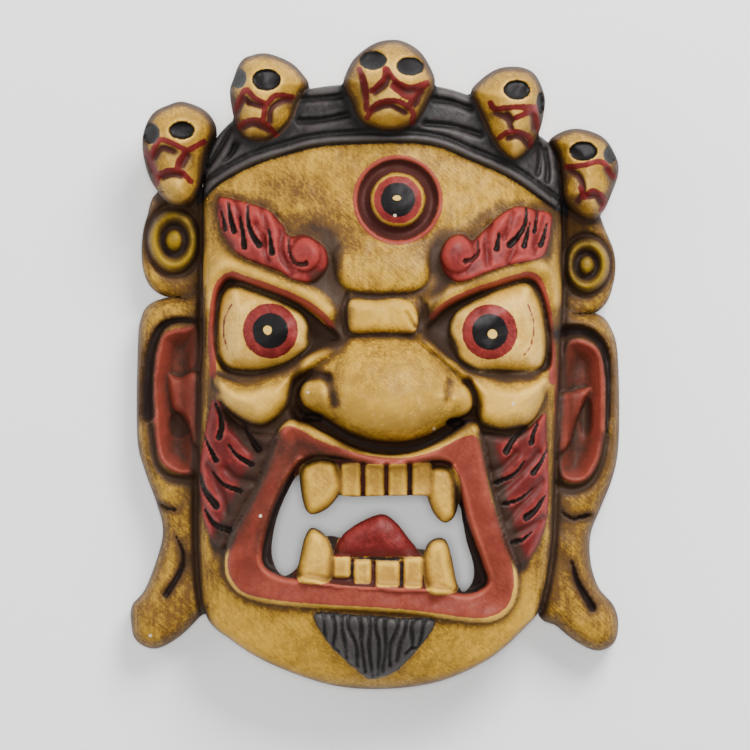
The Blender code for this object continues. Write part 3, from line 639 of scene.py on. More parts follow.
def paint_nose(x, y, paint):
    """Brown in the grooves round the nose, the roll and the bags, painted shade on the nose and
    the bags, and dark painted shade in the nostrils and under the nose.
    """
    paint_lines(x, y, paint, "wash", NOSE_WASHES)
    paint_lines(x, y, paint, "shade", NOSE_SHADES)
    for outline in BAGS:
        edge = depth_inside(x, y, outline)
        paint("shade", np.minimum(edge + 1, 4 - edge))
    paint("shade", np.minimum(depth_inside(x, y, NOSE) + 1, 0))
    paint("shade", np.minimum(depth_inside(x, y, GLABELLA) + 1, 0))
    # The nostrils and the line under the nose are painted dark: painted shade.
    for nostril in NOSTRILS:
        paint("dark", (1 - oval_radius(x, y, nostril)) * 3)
    paint("dark", stroke(x, y, NOSE_SHADOW, 2.0))


# The flames.
# Beside the mouth the beard flares up the cheek in red flames, cut into locks like the
# brows, with a dark hollow between them and the lips.
FLAMES = [
    [(-82, -17.5), (-85, -30), (-87, -41), (-89, -54), (-89, -63), (-87.3, -74), (-83, -86),
     (-76.5, -92.5), (-71, -82), (-63.5, -69), (-57, -55), (-52, -42), (-49, -34.5),
     (-60, -33.5), (-70, -28), (-77, -19)],
    [(84.5, -24), (85.5, -33), (86.8, -54.5), (86.5, -71), (84.5, -82), (80, -92.5),
     (72, -101), (66, -92), (61, -74), (57.5, -60), (54.5, -46), (53, -34), (66.5, -35),
     (76, -31.5)],
]
FLAME_CUTS = [
    ([(-80.3, -18), (-77.6, -25), (-77, -31), (-78.3, -36)], 3.2),
    ([(-85.5, -36), (-82.5, -42.5), (-79.9, -47.5)], 2.8),
    ([(-74, -39), (-69, -45), (-62, -49.5)], 2.6), ([(-66, -29), (-61.8, -37), (-58.5, -42)], 3.4),
    ([(-82, -53), (-76, -59.5), (-67.5, -62.8)], 2.4),
    ([(-88, -54), (-85.5, -62.5), (-79.8, -70.2)], 4.0),
    ([(-85.5, -72), (-81, -79), (-73, -82.5)], 3.6), ([(75.5, -31), (69, -36.5), (65, -43)], 3.4),
    ([(81, -28.5), (78.7, -34), (77.6, -39)], 2.4), ([(74, -48), (69, -54.5), (60, -58.6)], 2.4),
    ([(85.3, -42.5), (82.2, -49), (78.4, -54)], 2.8),
    ([(78, -62), (71.5, -67), (63.5, -69.3)], 2.0),
    ([(84.3, -65.5), (80, -72), (75.2, -76)], 3.8), ([(78, -83.5), (73.5, -87), (68, -88.5)], 2.6),
]
FLAME_CREASES = [
    [(-72, -31), (-66, -38), (-62, -42)], [(-84, -50), (-80, -57), (-76, -66), (-74, -74)],
    [(-88, -66), (-84, -76), (-78, -86)], [(-74, -52), (-70, -56), (-62, -58)],
    [(81, -44), (76, -50), (70, -56), (62, -63)], [(83, -58), (78, -64), (70, -72), (66, -78)],
    [(84, -76), (78, -80), (70, -84)], [(70, -44), (64, -50), (58, -53)],
]
FLAME_HOLLOW = [(-74, -24), (-68, -30), (-63, -37), (-58, -42)]
FLAME_WASHES = [
    ([(-72, -27), (-67, -31), (-63, -37), (-57, -43), (-55, -50)], 5.5),
    ([(-49, -35), (-52, -44), (-56, -54), (-62, -66), (-69, -79), (-76, -91)], 5),
    ([(60, -66), (63.5, -80), (68, -93), (71.5, -101)], 4),
    ([(-50, -38), (-58, -54), (-67, -72), (-76, -89)], 11.5),
    ([(53.5, -33), (57.5, -50), (62, -70), (67, -88), (72.5, -100)], 7),
]
FLAME_RISE = 6.0


def carve_flames(x, y):
    """The locks of the flames."""
    height = np.zeros(x.shape)
    for outline in FLAMES:
        height += FLAME_RISE * swell(depth_inside(x, y, outline) / 4.5)
    for line in FLAME_CREASES:
        height += cut(x, y, line, 2.2, 2.6)
    height += gouge(x, y, FLAME_CUTS)
    return height + cut(x, y, FLAME_HOLLOW, 2.8, 4)


def paint_flames(x, y, paint):
    """Red flames, with black-brown in the cuts and along the lips."""
    for outline in FLAMES:
        edge = depth_inside(x, y, outline)
        paint("red", edge)
        paint("shade", np.minimum(edge + 2, 4))
    for line, width in FLAME_CUTS:
        paint("dark", taper(x, y, line, width) + 0.1)
    paint_lines(x, y, paint, "wash", FLAME_WASHES)


# The mouth.
# Wide salmon lips snarl round an opening that goes right through the wood, so that the
# wearer sees through it. The lips slope inwards like a funnel to walls painted dark as
# shade. Four fangs, eight small teeth and a red tongue are left standing, with maroon
# between them.
LIPS = [(-42.5, -30), (-50, -37), (-56.5, -57), (-70, -82), (-74, -97), (-71.5, -108),
        (-62, -115), (-37.5, -118.5), (12.5, -121.5), (47.5, -126), (60, -124.5),
        (67.5, -117), (68.5, -102), (62.5, -82), (56.5, -62), (53.5, -44.5), (49.5, -35),
        (42.5, -36), (27.5, -43), (12.5, -46), (-7.5, -44), (-27.5, -37.5)]
MOUTH = [(-35, -46), (-42, -53), (-51.5, -72), (-57, -92), (-55.5, -101), (-46, -106),
         (-30, -107.5), (-12.5, -110), (25, -111.5), (46, -114.5), (56, -109), (54, -99),
         (46, -77), (40.5, -55), (32.5, -47), (5, -49.5), (-20, -45)]
OPENING = [(-38, -54), (-45, -65), (-50, -78), (-52.3, -92), (-50.5, -101), (-46, -105.5),
           (-40, -102), (-33, -91), (-24, -85.5), (-16, -87), (3, -93), (22, -92), (32, -96),
           (38, -104), (43.5, -113.5), (48.5, -108.5), (49, -100), (45.5, -88), (43.5, -78),
           (40.5, -68), (25, -65), (5, -65), (-16, -65), (-30, -59)]
LIP_EDGES = [(-40, -26.5), (-49, -32), (-54, -45), (-60, -60), (-72, -82), (-76, -98),
             (-73, -110), (-62, -117.5), (-37.5, -121), (12.5, -124), (47.5, -128.5),
             (62, -127), (70, -118), (71, -102), (65, -82), (58.5, -62), (55, -44), (52, -30),
             (46, -26.5), (40, -31), (27.5, -39.5), (12.5, -44), (-5, -42.5), (-24, -34)]
FANGS = [
    [(-38, -55), (-37, -64.5), (-35, -72), (-31.5, -74.5), (-25, -72), (-20, -67),
     (-17, -60), (-20, -49), (-28.5, -46), (-36, -49.5)],
    [(28, -51), (37.5, -51), (41, -57), (41.5, -66), (39.5, -75), (35.5, -78.5),
     (31.5, -77), (27.5, -71), (25.5, -62)],
    [(-39, -103), (-37.5, -94), (-35.5, -86), (-32.5, -81.5), (-28.5, -82.5), (-24.5, -86.5),
     (-22, -93), (-21.5, -101), (-23, -107), (-30, -108.5), (-37.5, -107.5)],
    [(24, -97), (26, -89.5), (30.5, -86.5), (35, -87.5), (37.5, -94.5), (39.5, -104.5),
     (40.5, -112), (34, -114), (27, -113), (24.5, -106)],
]
TONGUE = [(-19, -96), (-17.5, -87), (-14, -82.5), (-5, -77), (3.5, -74.5), (10, -78.5),
          (16, -86), (20.5, -92), (21, -98), (0, -100)]
# Middle, half width, top and bottom of each small tooth.
TEETH = [(-12.4, 4.9, -48.5, -65.8), (-0.5, 4.7, -49, -65.8), (11.0, 4.7, -49, -65.8),
         (23.2, 5.0, -48.5, -65.5), (-17, 4.4, -94.8, -106), (-6.6, 4.4, -96.8, -109),
         (5.9, 6.0, -97.5, -110.5), (18.6, 4.7, -95.5, -111)]
GUMS = [[(-40, -46), (-20, -47.5), (5, -50), (30, -49.5), (40, -50), (38, -62), (20, -64),
         (0, -64), (-22, -64), (-36, -60)],
        [(-38, -108), (-35, -98), (-22, -96), (-5, -98), (10, -98.5), (22, -97), (38, -101),
         (39, -112), (20, -113), (0, -112)]]
BLACK_GAPS = [
    ([(17.1, -51), (16.9, -63)], 1.4), ([(-11.8, -99), (-12, -107)], 1.4),
    ([(12.9, -99), (12.8, -110)], 1.4),
]
MOUTH_WASHES = [
    ([(-36, -46), (-26, -45), (-16, -47)], 3), ([(28, -49), (37, -48)], 3),
    ([(-37, -84), (-31, -80.5), (-26, -83)], 2), ([(25, -89), (31, -85.5), (36, -88)], 2),
    ([(38.5, -60), (40, -72)], 2),
]
LIP_SHADES = [
    ([(-40, -40), (-52, -66), (-62, -88), (-63, -104)], 12),
    ([(-38, -36), (-28, -42), (-12, -46)], 12), ([(45, -52), (50, -72), (59, -98)], 9),
]
LIP_WASHES = [
    ([(-40, -41), (-46, -56), (-54, -76), (-59, -92)], 6), ([(-38, -38), (-26, -43)], 6),
]
TONGUE_EDGE = [(-19.5, -94.5), (-10, -96), (0, -96.8), (10, -96.6), (19, -94)]
LIP_RISE = 11.0
LIP_FOOT = 0.45
LIP_FALL = 5.0
MOUTH_DEPTH = 9.0
FANG_RISE = 11.0
TOOTH_RISE = 8.0
TOOTH_CORNER = 1.6
GUM_RISE = 4.5
TONGUE_RISE = 7.0


def tooth_depth(x, y, tooth):
    """Depth inside one small tooth, a block with round corners."""
    middle, half_width, top, bottom = tooth
    across = np.abs(x - middle) - half_width + TOOTH_CORNER
    along = np.abs(y - (top + bottom) / 2) - (top - bottom) / 2 + TOOTH_CORNER
    outside = np.hypot(np.maximum(across, 0), np.maximum(along, 0))
    return TOOTH_CORNER - outside - np.minimum(np.maximum(across, along), 0)


def mouth_opening(x, y):
    """Depth inside the hole through the mouth, past the fangs and the tongue."""
    opening = depth_inside(x, y, OPENING)
    for outline in FANGS + [TONGUE]:
        opening = np.minimum(opening, -depth_inside(x, y, outline))
    return opening


def carve_mouth(x, y):
    """The lips, the dark walls, the teeth and fangs, and the tongue."""
    lips = depth_inside(x, y, LIP_EDGES)
    mouth = depth_inside(x, y, MOUTH)
    side = LIP_FOOT + (1 - LIP_FOOT) * ramp((y + 122) / 30)
    height = side * LIP_RISE * swell(lips / 4.5) - LIP_FALL * ramp(lips / 18)
    height -= (MOUTH_DEPTH + side * LIP_RISE - LIP_FALL) * ramp((mouth + 1.5) / 4)
    inner = np.zeros(x.shape)
    for outline in GUMS:
        inner = np.maximum(inner, GUM_RISE * swell(depth_inside(x, y, outline) / 4))
    for tooth in TEETH:
        inner = np.maximum(inner, TOOTH_RISE * swell(tooth_depth(x, y, tooth) / 2.6 + 0.3))
    for outline in FANGS:
        inner = np.maximum(inner, FANG_RISE * swell(depth_inside(x, y, outline) / 5.5))
    tongue = depth_inside(x, y, TONGUE)
    return height + np.maximum(inner, TONGUE_RISE * swell(tongue / 10))


def paint_mouth(x, y, paint):
    """Salmon lips with an ochre edge, walls painted dark as shade, a red tongue and ochre teeth.
    """
    mouth = depth_inside(x, y, MOUTH)
    lips = depth_inside(x, y, LIPS)
    paint("salmon", np.minimum(lips, -mouth + 2))
    paint("wash", 0.8 - np.abs(depth_inside(x, y, LIP_EDGES) + 0.6))
    teeth = np.full(x.shape, -FAR)
    for outline in FANGS:
        edge = depth_inside(x, y, outline)
        teeth = np.maximum(teeth, edge + 0.6)
        paint("shade", np.minimum(edge + 1, 5 - edge))
    for tooth in TEETH:
        teeth = np.maximum(teeth, tooth_depth(x, y, tooth))
    gums = np.maximum(depth_inside(x, y, GUMS[0]), depth_inside(x, y, GUMS[1])) + 1
    tongue = np.minimum(depth_inside(x, y, TONGUE) + 1, y + 95.5)
    paint("tooth", teeth)
    paint("tongue", tongue)
    paint("maroon", np.minimum(np.minimum(gums, mouth), -np.maximum(teeth, tongue)))
    # The walls of the opening and the ground round the teeth, painted dark as shade.
    paint("dark", np.minimum(mouth - 0.5, -np.maximum(np.maximum(teeth, tongue), gums)))
    # Dark gaps between some teeth: painted shade.
    paint_lines(x, y, paint, "dark", BLACK_GAPS)
    # Painted shade along the bottom of the tongue.
    paint("wash", np.minimum(tongue, 2.5 - np.abs(y + 94)) - 1)
    paint("tooth", stroke(x, y, TONGUE_EDGE, 1.2))
    paint_lines(x, y, paint, "wash", MOUTH_WASHES)
    paint_lines(x, y, paint, "shade", LIP_SHADES)
    paint_lines(x, y, paint, "wash", LIP_WASHES, shift=-2)


# The beard.
# A pointed tuft under the lower lip, raised a little, combed with a veiner into wavy
# strands and painted black.
BEARD = [(-31, -124), (-15, -124), (0, -125), (15, -126), (29.5, -127), (25, -137),
         (12.5, -151), (5, -155.5), (-3.5, -157), (-10, -152), (-17.5, -145.5), (-25, -137)]
BEARD_STRANDS = [
    (-26, -23.5), (-22, -18.5), (-17, -14.5), (-13.5, -9), (-8.5, -5), (-4, -1.5), (0.5, 1),
    (5.5, 3.5), (10.5, 7), (15.5, 10.5), (20, 15), (25, 18.5),
]
BEARD_RISE = 5
STRAND_WIDTH = 0.9
STRAND_DEPTH = 2.4


def beard_strands():
    """Wavy cuts that run down the tuft from a root to a foot."""
    strands = []
    for number, (root, foot) in enumerate(BEARD_STRANDS):
        sway = 1.2 * np.sin(1.7 * number)
        end = -156 + 0.75 * abs(foot + 1)
        strands.append([(root, -123.5), (root + 0.2 * (foot - root) + sway, -131),
                        (root + 0.6 * (foot - root) - sway, -140), (foot, end)])
    return strands


def carve_beard(x, y):
    """The combed tuft."""
    beard = depth_inside(x, y, BEARD)
    height = BEARD_RISE * swell(beard / 5)
    for line in beard_strands():
        height += cut(x, y, line, STRAND_WIDTH, STRAND_DEPTH) * ramp(beard / 2)
    return height


def paint_beard(x, y, paint):
    """Black hair."""
    paint("black", depth_inside(x, y, BEARD))


# The crown band.
# A black band of folded cloth over the forehead, cut in the same wood: a rolled lower
# edge with a groove above it, and folds that run between the skulls. Grey brushing
# catches its high places, with a painted highlight on the edges of the folds.
CROWN_EDGE = [(-100, 70), (-85, 84.5), (-76.5, 91.5), (-62.5, 99), (-47.5, 104),
              (-27.5, 109), (2.5, 110.5), (27.5, 109.5), (47.5, 102), (67.5, 93),
              (87.5, 79.5), (104, 70)]
CROWN_FOLDS = [
    [(-38, 133), (-27, 133.5), (-17, 134.5)], [(-38, 122), (-27, 122.5), (-14, 125)],
    [(29, 133), (38, 131.5), (47, 128.5)], [(25, 120.5), (38, 119.5), (52, 115.5)],
    [(-84, 100), (-78, 109), (-73, 118)], [(-80, 96), (-74, 103), (-70, 110)],
    [(84, 86), (86, 96), (85, 108)], [(79, 91), (82, 100), (82, 110)],
]


def crown_depth(x, y):
    """Depth above the lower edge of the band."""
    edge = curve(CROWN_EDGE, closed=False)
    return np.where(y > np.interp(x, *edge.T), 1, -1) * distance(x, y, edge)


def carve_crown(x, y, height):
    """The band over the forehead."""
    above = crown_depth(x, y)
    band = height + 5 * ramp(above / 2.5) - 3 * bell((above - 6) / 1.5)
    for line in CROWN_FOLDS:
        band += cut(x, y, line, 1.6, 4) * ramp((above - 7) / 3)
    return np.where(above > 0, band, height)


def paint_crown(x, y, paint):
    """Black over the band, but not on the skulls or the discs."""
    black = np.minimum(crown_depth(x, y), depth_inside(x, y, BLOCK) + 3)
    for skull in SKULLS:
        black = np.minimum(black, -depth_inside(x, y, skull["outline"]))
    paint("black", black)


# The skulls.
# Five small skulls stand along the top of the crown and turn outwards with it. They are
# nearly round, in ochre, with black sockets, and red lines mark the nose and cheeks.
SKULLS = [
    dict(outline=[(-96.5, 132.5), (-105, 130.5), (-112.5, 126), (-117, 115.5), (-116.5, 104),
                  (-112.5, 92), (-104, 82), (-94, 81), (-88, 90), (-84.5, 106), (-80, 118),
                  (-85, 127.5)],
         level=33, lift=22, roll=17, eyes=[(-112.3, 116, 4.2, 5.4), (-97, 117.5, 6.5, 4.6)],
         reds=[[(-112.7, 104.5), (-107.5, 112.8), (-96.4, 108.3), (-93.7, 107.6), (-86, 112)],
               [(-94.6, 107.4), (-98.5, 101.5), (-99, 97)],
               [(-110, 91), (-108, 95.2), (-103.5, 97.3), (-97, 96.5), (-92.5, 92)],
               [(-115.3, 107), (-111, 99), (-109.5, 92)]],
         hollows=[[(-110.5, 104), (-107, 108.5), (-101, 106.8)], [(-94, 105), (-96.8, 100)],
                  [(-114.3, 104), (-111.5, 97)], [(-106.5, 94), (-102, 95.2), (-97.5, 94.6)]]),
    dict(outline=[(-54, 156), (-62.5, 155), (-67.5, 152), (-71.5, 143), (-73, 135.5),
                  (-70.5, 122), (-66, 114), (-58.5, 111.5), (-51.5, 112.5), (-42.5, 120.5),
                  (-37.5, 133), (-33.5, 140), (-36, 145), (-42.5, 151.5)],
         level=50, lift=27, roll=20, eyes=[(-68.4, 143, 4.2, 5), (-54.3, 142, 7.2, 5.6)],
         reds=[[(-69.7, 128), (-65, 137), (-60.3, 133), (-55, 130)],
               [(-54.3, 129.6), (-49.6, 134.2), (-41.6, 133.6)], [(-55, 130), (-56, 121.5)],
               [(-69, 118.2), (-65.7, 121), (-60.3, 122), (-55, 120.3), (-49, 114.2)]],
         hollows=[[(-69, 126), (-65.5, 132.5), (-63.5, 131)], [(-62.5, 130.5), (-57, 128.7)],
                  [(-53, 121), (-52, 127.5), (-47, 131.3), (-42.5, 131.8)],
                  [(-66.5, 118.5), (-60.5, 119.9), (-53, 117)], [(-72.2, 132), (-70, 121)]]),
    dict(outline=[(10, 162.5), (0, 161), (-10, 154), (-15, 145.5), (-16, 140), (-12.5, 132),
                  (-8.5, 122.5), (-2.5, 118.5), (7.5, 116.5), (17.5, 119), (23, 125),
                  (26.5, 132), (29.5, 140), (28.5, 146), (23.5, 155), (17.5, 160)],
         level=59, lift=32, roll=22, eyes=[(-1.3, 151.3, 6.8, 4.9), (17, 148.3, 7, 4.8)],
         reds=[[(-2, 136), (4, 141.8), (5, 147), (10, 140.6), (17.4, 137.7), (25.5, 140.5)],
               [(8.2, 138), (15.5, 133), (19, 134)], [(25.5, 140), (19.7, 134), (16.3, 128)],
               [(-4.3, 123), (-0.2, 129), (6.6, 131), (13, 130), (18.5, 125.5), (18, 121)],
               [(-8.3, 147), (-5.3, 139.6), (-4.6, 127)]],
         hollows=[[(-0.5, 135), (4.5, 138.5), (6, 142)], [(9, 139), (14.5, 135.6), (19, 136)],
                  [(19.5, 129), (22.5, 135.5)], [(-1.5, 126.5), (6.6, 128.7), (14.5, 125.5)],
                  [(-7, 142), (-5, 133)]]),
    dict(outline=[(67.5, 149.5), (60, 148), (52.5, 143), (47.5, 136.5), (51, 127),
                  (56.5, 115), (61.5, 107.5), (69, 102.5), (76, 107), (81.5, 116),
                  (84, 125.5), (84.5, 134.5), (80.5, 144.5), (75, 148.5)],
         level=50, lift=27, roll=19, eyes=[(70.2, 137, 6.8, 5.1), (82, 130.8, 2, 5.5)],
         reds=[[(57, 130.6), (59.3, 127.6), (68.5, 128.3), (79.4, 128.5)],
               [(69.7, 123), (74.3, 125), (79, 127)], [(79.6, 128.3), (80, 122.6), (81.7, 117.4)],
               [(61.6, 113.4), (65.6, 115.9), (71.4, 116), (76.6, 113.6), (77.5, 109.4)]],
         hollows=[[(60, 125.5), (65.3, 122.5), (67.5, 117.5)], [(65.5, 125), (68, 122)],
                  [(66, 113.2), (71.4, 113.5), (75.5, 110)], [(78.2, 124), (79, 118)]]),
    dict(outline=[(100, 119), (92.5, 117), (87, 112.5), (90.5, 106), (92.5, 95.5), (94, 84),
                  (100, 77), (108.5, 74), (114, 77), (118, 85), (122, 97), (120.5, 105.5),
                  (115.5, 113.5), (108.5, 117.5)],
         level=32, lift=21, roll=17, eyes=[(103.8, 107.2, 7.1, 5), (117.3, 105.6, 3.3, 4.7)],
         reds=[[(95.5, 99.4), (103.2, 100), (111, 102), (114.3, 101)],
               [(114.3, 101.5), (117.5, 96.5), (120.8, 94)], [(104, 84.3), (102.5, 89)],
               [(104.4, 84), (108, 87.2), (112.3, 85.6), (115, 82), (113, 77.5)]],
         hollows=[[(97, 97.5), (102, 94), (103.8, 87), (101, 82)], [(115.5, 98), (118, 94)],
                  [(106.5, 84.2), (110, 84.6), (112.5, 81)]]),
]
SKULL_BACK_LIFT = 0.55
SKULL_EDGE = 4.0


def carve_skulls(x, y, height):
    """The round skulls with their sockets and hollows."""
    for skull in SKULLS:
        edge = depth_inside(x, y, skull["outline"])
        face = skull["level"] + skull["lift"] * swell(edge / skull["roll"])
        for socket in skull["eyes"]:
            face -= 4.5 * ball(x, y, *socket) ** 0.6
        for line in skull["hollows"]:
            face += cut(x, y, line, 1.5, 3)
        height = np.where(edge > -NEAR, np.maximum(height, face), height)
    return height


def paint_skulls(x, y, paint):
    """Black sockets, red lines and dark hollows."""
    for skull in SKULLS:
        edge = depth_inside(x, y, skull["outline"])
        for socket in skull["eyes"]:
            paint("ink", np.minimum(edge, (1 - oval_radius(x, y, socket)) * min(socket[2:])))
        for line in skull["reds"]:
            paint("blood", np.minimum(edge, stroke(x, y, line, 2.9)))
        for line in skull["hollows"]:
            paint("wash", np.minimum(edge, stroke(x, y, line, 4.5)))
            paint("maroon", np.minimum(edge, stroke(x, y, line, 2.4)))
        paint("shade", np.minimum(edge + 1, np.maximum(5 - edge, 1)))
        paint("wash", np.minimum(edge + 1, 0.8 - edge))


# The mask.
# One piece, sawn to its outline, carved in front and hollowed behind with a gouge to a
# wall about as thick as a finger, with a flat rim all round that it lies on.
FIELD = (260.0, 340.0)
CELL = 0.93
SNAP = 0.3 * CELL
EDGE_ROLL = 5.0
WALL = 12.0
RIM_WIDTH = 12.0
THINNEST = 6.0
EAR_BACK = 7.0
NOSE_HOLLOW = 10
MOUTH_BACKING = 10
SOCKET_BACKING = 6
NOSE_BACK = (5, -14, 22, 22)
EYE_BACKS = [(-42, 14, 30, 22), (46, 14, 30, 22)]
WALL_CUTS = 4
BACK_TRIANGLES = 22000
LAYERS = ("shade", "wash", "eyeball", "salmon", "lid", "red", "yellow", "maroon", "dark",
          "tooth", "tongue", "corner", "black", "ink", "blood", "gold", "chip")
# Middle and radius of the spots where the paint has chipped off.
CHIPS = [(-33.5, -13.5, 0.8), (9.5, 74.5, 0.8), (-57.5, -75, 0.8), (-113.5, -136, 0.8),
         (68.5, -19, 0.8), (29, -31.5, 0.8)]
PAINT_REACH = 4.0
# Height and length in mm of the marks of the tools, and the seed of each kind.
TOOL_MARKS = ((0.55, 21, 3), (0.3, 9, 4), (0.12, 4.5, 5))
CROWDING = 0.6
WASH_ROUNDS = 14
FINE_ROUNDS = 10
MIDDLE_ROUNDS = 80
BROAD_ROUNDS = 320


def unevenness(x, y, size, seed):
    """Slow hand-made waviness between -1 and 1, with waves about this many mm long."""
    chance = np.random.default_rng(seed)
    total = np.zeros(x.shape)
    for turn, phase, stretch in zip(chance.uniform(0, 2 * np.pi, 9),
                                    chance.uniform(0, 2 * np.pi, 9),
                                    chance.uniform(0.7, 1.5, 9)):
        along = x * np.cos(turn) + y * np.sin(turn)
        total += np.sin(2 * np.pi * along / (size * stretch) + phase)
    return total / 5


def silhouette_depth(x, y):
    """Depth inside the whole mask, with the mouth opening cut out."""
    depth = np.maximum(depth_inside(x, y, BLOCK), ear_depth(x, y))
    for outline in DISC_LOBES + [skull["outline"] for skull in SKULLS]:
        depth = np.maximum(depth, depth_inside(x, y, outline))
    return np.minimum(depth, -mouth_opening(x, y))


def front_height(x, y):
    """Height of the carved front above the back plane."""
    block = depth_inside(x, y, BLOCK)
    face = bare_face(x, y) - FACE_ROLL * (1 - swell(block / FACE_ROLL))
    face += carve_brows(x, y) + carve_eyes(x, y) + carve_nose(x, y)
    face += carve_flames(x, y) + carve_mouth(x, y) + carve_beard(x, y)
    face = carve_crown(x, y, face)
    side = carve_discs(x, y, carve_ears(x, y))
    join = ramp((block + 1) / 2.5)
    height = side + (face - side) * join
    height -= 3 * bell(block / 2.2) * (np.abs(x) > 80) * ramp((88 - y) / 12)
    height = carve_skulls(x, y, height)
    for rise, length, seed in TOOL_MARKS:
        height = height + rise * unevenness(x, y, length, seed)
    return height


def back_height(x, y):
    """Height of the hollowed back: a flat rim, the hollow, and what overhangs it."""
    block = depth_inside(x, y, BLOCK)
    edge = silhouette_depth(x, y)
    hollow = bare_face(x, y) - WALL
    hollow += NOSE_HOLLOW * bell(oval_radius(x, y, NOSE_BACK))
    hollow -= MOUTH_BACKING * ramp((depth_inside(x, y, MOUTH) + 12) / 12)
    for eye in EYE_BACKS:
        hollow -= SOCKET_BACKING * bell(oval_radius(x, y, eye))
    hollow += 0.7 * unevenness(x, y, 11, 8)
    inner = hollow * ramp((block - RIM_WIDTH) / 16)
    overhang = EAR_BACK + 4 * (1 - swell(edge / 5))
    beside = np.full(x.shape, np.inf)
    for outline in EARS + DISC_LOBES:
        beside = np.where(depth_inside(x, y, outline) > -NEAR, overhang, beside)
    for skull in SKULLS:
        inside = depth_inside(x, y, skull["outline"])
        under = skull["level"] - SKULL_EDGE
        under = under - SKULL_BACK_LIFT * skull["lift"] * swell(inside / skull["roll"])
        beside = np.where(inside > -NEAR, np.minimum(beside, under), beside)
    beside = np.where(np.isfinite(beside), beside, overhang)
    return np.where(block >= 0, inner, beside * ramp(-block / 2.5))


def sheet_slope(x, y, depth):
    """Which way the silhouette's depth grows, as a unit direction."""
    probe = 0.05
    slope_x = (silhouette_depth(x + probe, y) - depth) / probe
    slope_y = (silhouette_depth(x, y + probe) - depth) / probe
    size = np.maximum(np.hypot(slope_x, slope_y), 1e-6)
    return slope_x / size, slope_y / size


def trimmed_sheet():
    """A flat grid, cut to the outline of the mask with the mouth open."""
    sheet = bmesh.new()
    columns = int(FIELD[0] / CELL)
    rows = int(FIELD[1] / CELL)
    bmesh.ops.create_grid(sheet, x_segments=columns, y_segments=rows, size=0.5)
    bmesh.ops.scale(sheet, vec=(FIELD[0], FIELD[1], 1), verts=sheet.verts)
    places = np.array([vert.co[:2] for vert in sheet.verts])
    depth = silhouette_depth(*places.T)
    slope_x, slope_y = sheet_slope(*places.T, depth)
    depths = {}
    for vert, d, sx, sy in zip(sheet.verts, depth, slope_x, slope_y):
        if abs(d) < SNAP:
            vert.co.x -= d * sx
            vert.co.y -= d * sy
            d = 0.0
        depths[vert] = d
    on_edge = [vert for vert, d in depths.items() if d == 0.0]
    for edge in list(sheet.edges):
        first, second = edge.verts
        if depths[first] * depths[second] < 0:
            share = depths[first] / (depths[first] - depths[second])
            crossing = bmesh.utils.edge_split(edge, first, share)[1]
            depths[crossing] = 0.0
            on_edge.append(crossing)
    bmesh.ops.connect_verts(sheet, verts=on_edge)
    outside = [face for face in sheet.faces if min(depths[vert] for vert in face.verts) < 0]
    bmesh.ops.delete(sheet, geom=outside, context="FACES")
    centres = np.array([face.calc_center_median()[:2] for face in sheet.faces])
    stray = [face for face, d in zip(sheet.faces, silhouette_depth(*centres.T)) if d < 0]
    bmesh.ops.delete(sheet, geom=stray, context="FACES")
    return sheet


def crowd_edges(sheet):
    """Draw the points near the outline towards it, where the edges are rounded over."""
    places = np.array([vert.co[:2] for vert in sheet.verts])
    depth = silhouette_depth(*places.T)
    slope_x, slope_y = sheet_slope(*places.T, depth)
    near = (depth < EDGE_ROLL) & (depth > 0.02)
    eased = EDGE_ROLL * (1 - np.cos(0.5 * np.pi * depth / EDGE_ROLL))
    shift = np.where(near, CROWDING * (depth - eased), 0)
    places[:, 0] -= shift * slope_x
    places[:, 1] -= shift * slope_y
    for vert, place in zip(sheet.verts, places):
        vert.co.x, vert.co.y = place


def soften(values, edges, rounds):
    """Average each value with its neighbours' along the edges, this many times."""
    count = np.bincount(edges.ravel(), minlength=len(values))
    for _ in range(rounds):
        total = np.bincount(edges[:, 0], values[edges[:, 1]], len(values))
        total += np.bincount(edges[:, 1], values[edges[:, 0]], len(values))
        values = 0.5 * values + 0.5 * total / np.maximum(count, 1)
    return values


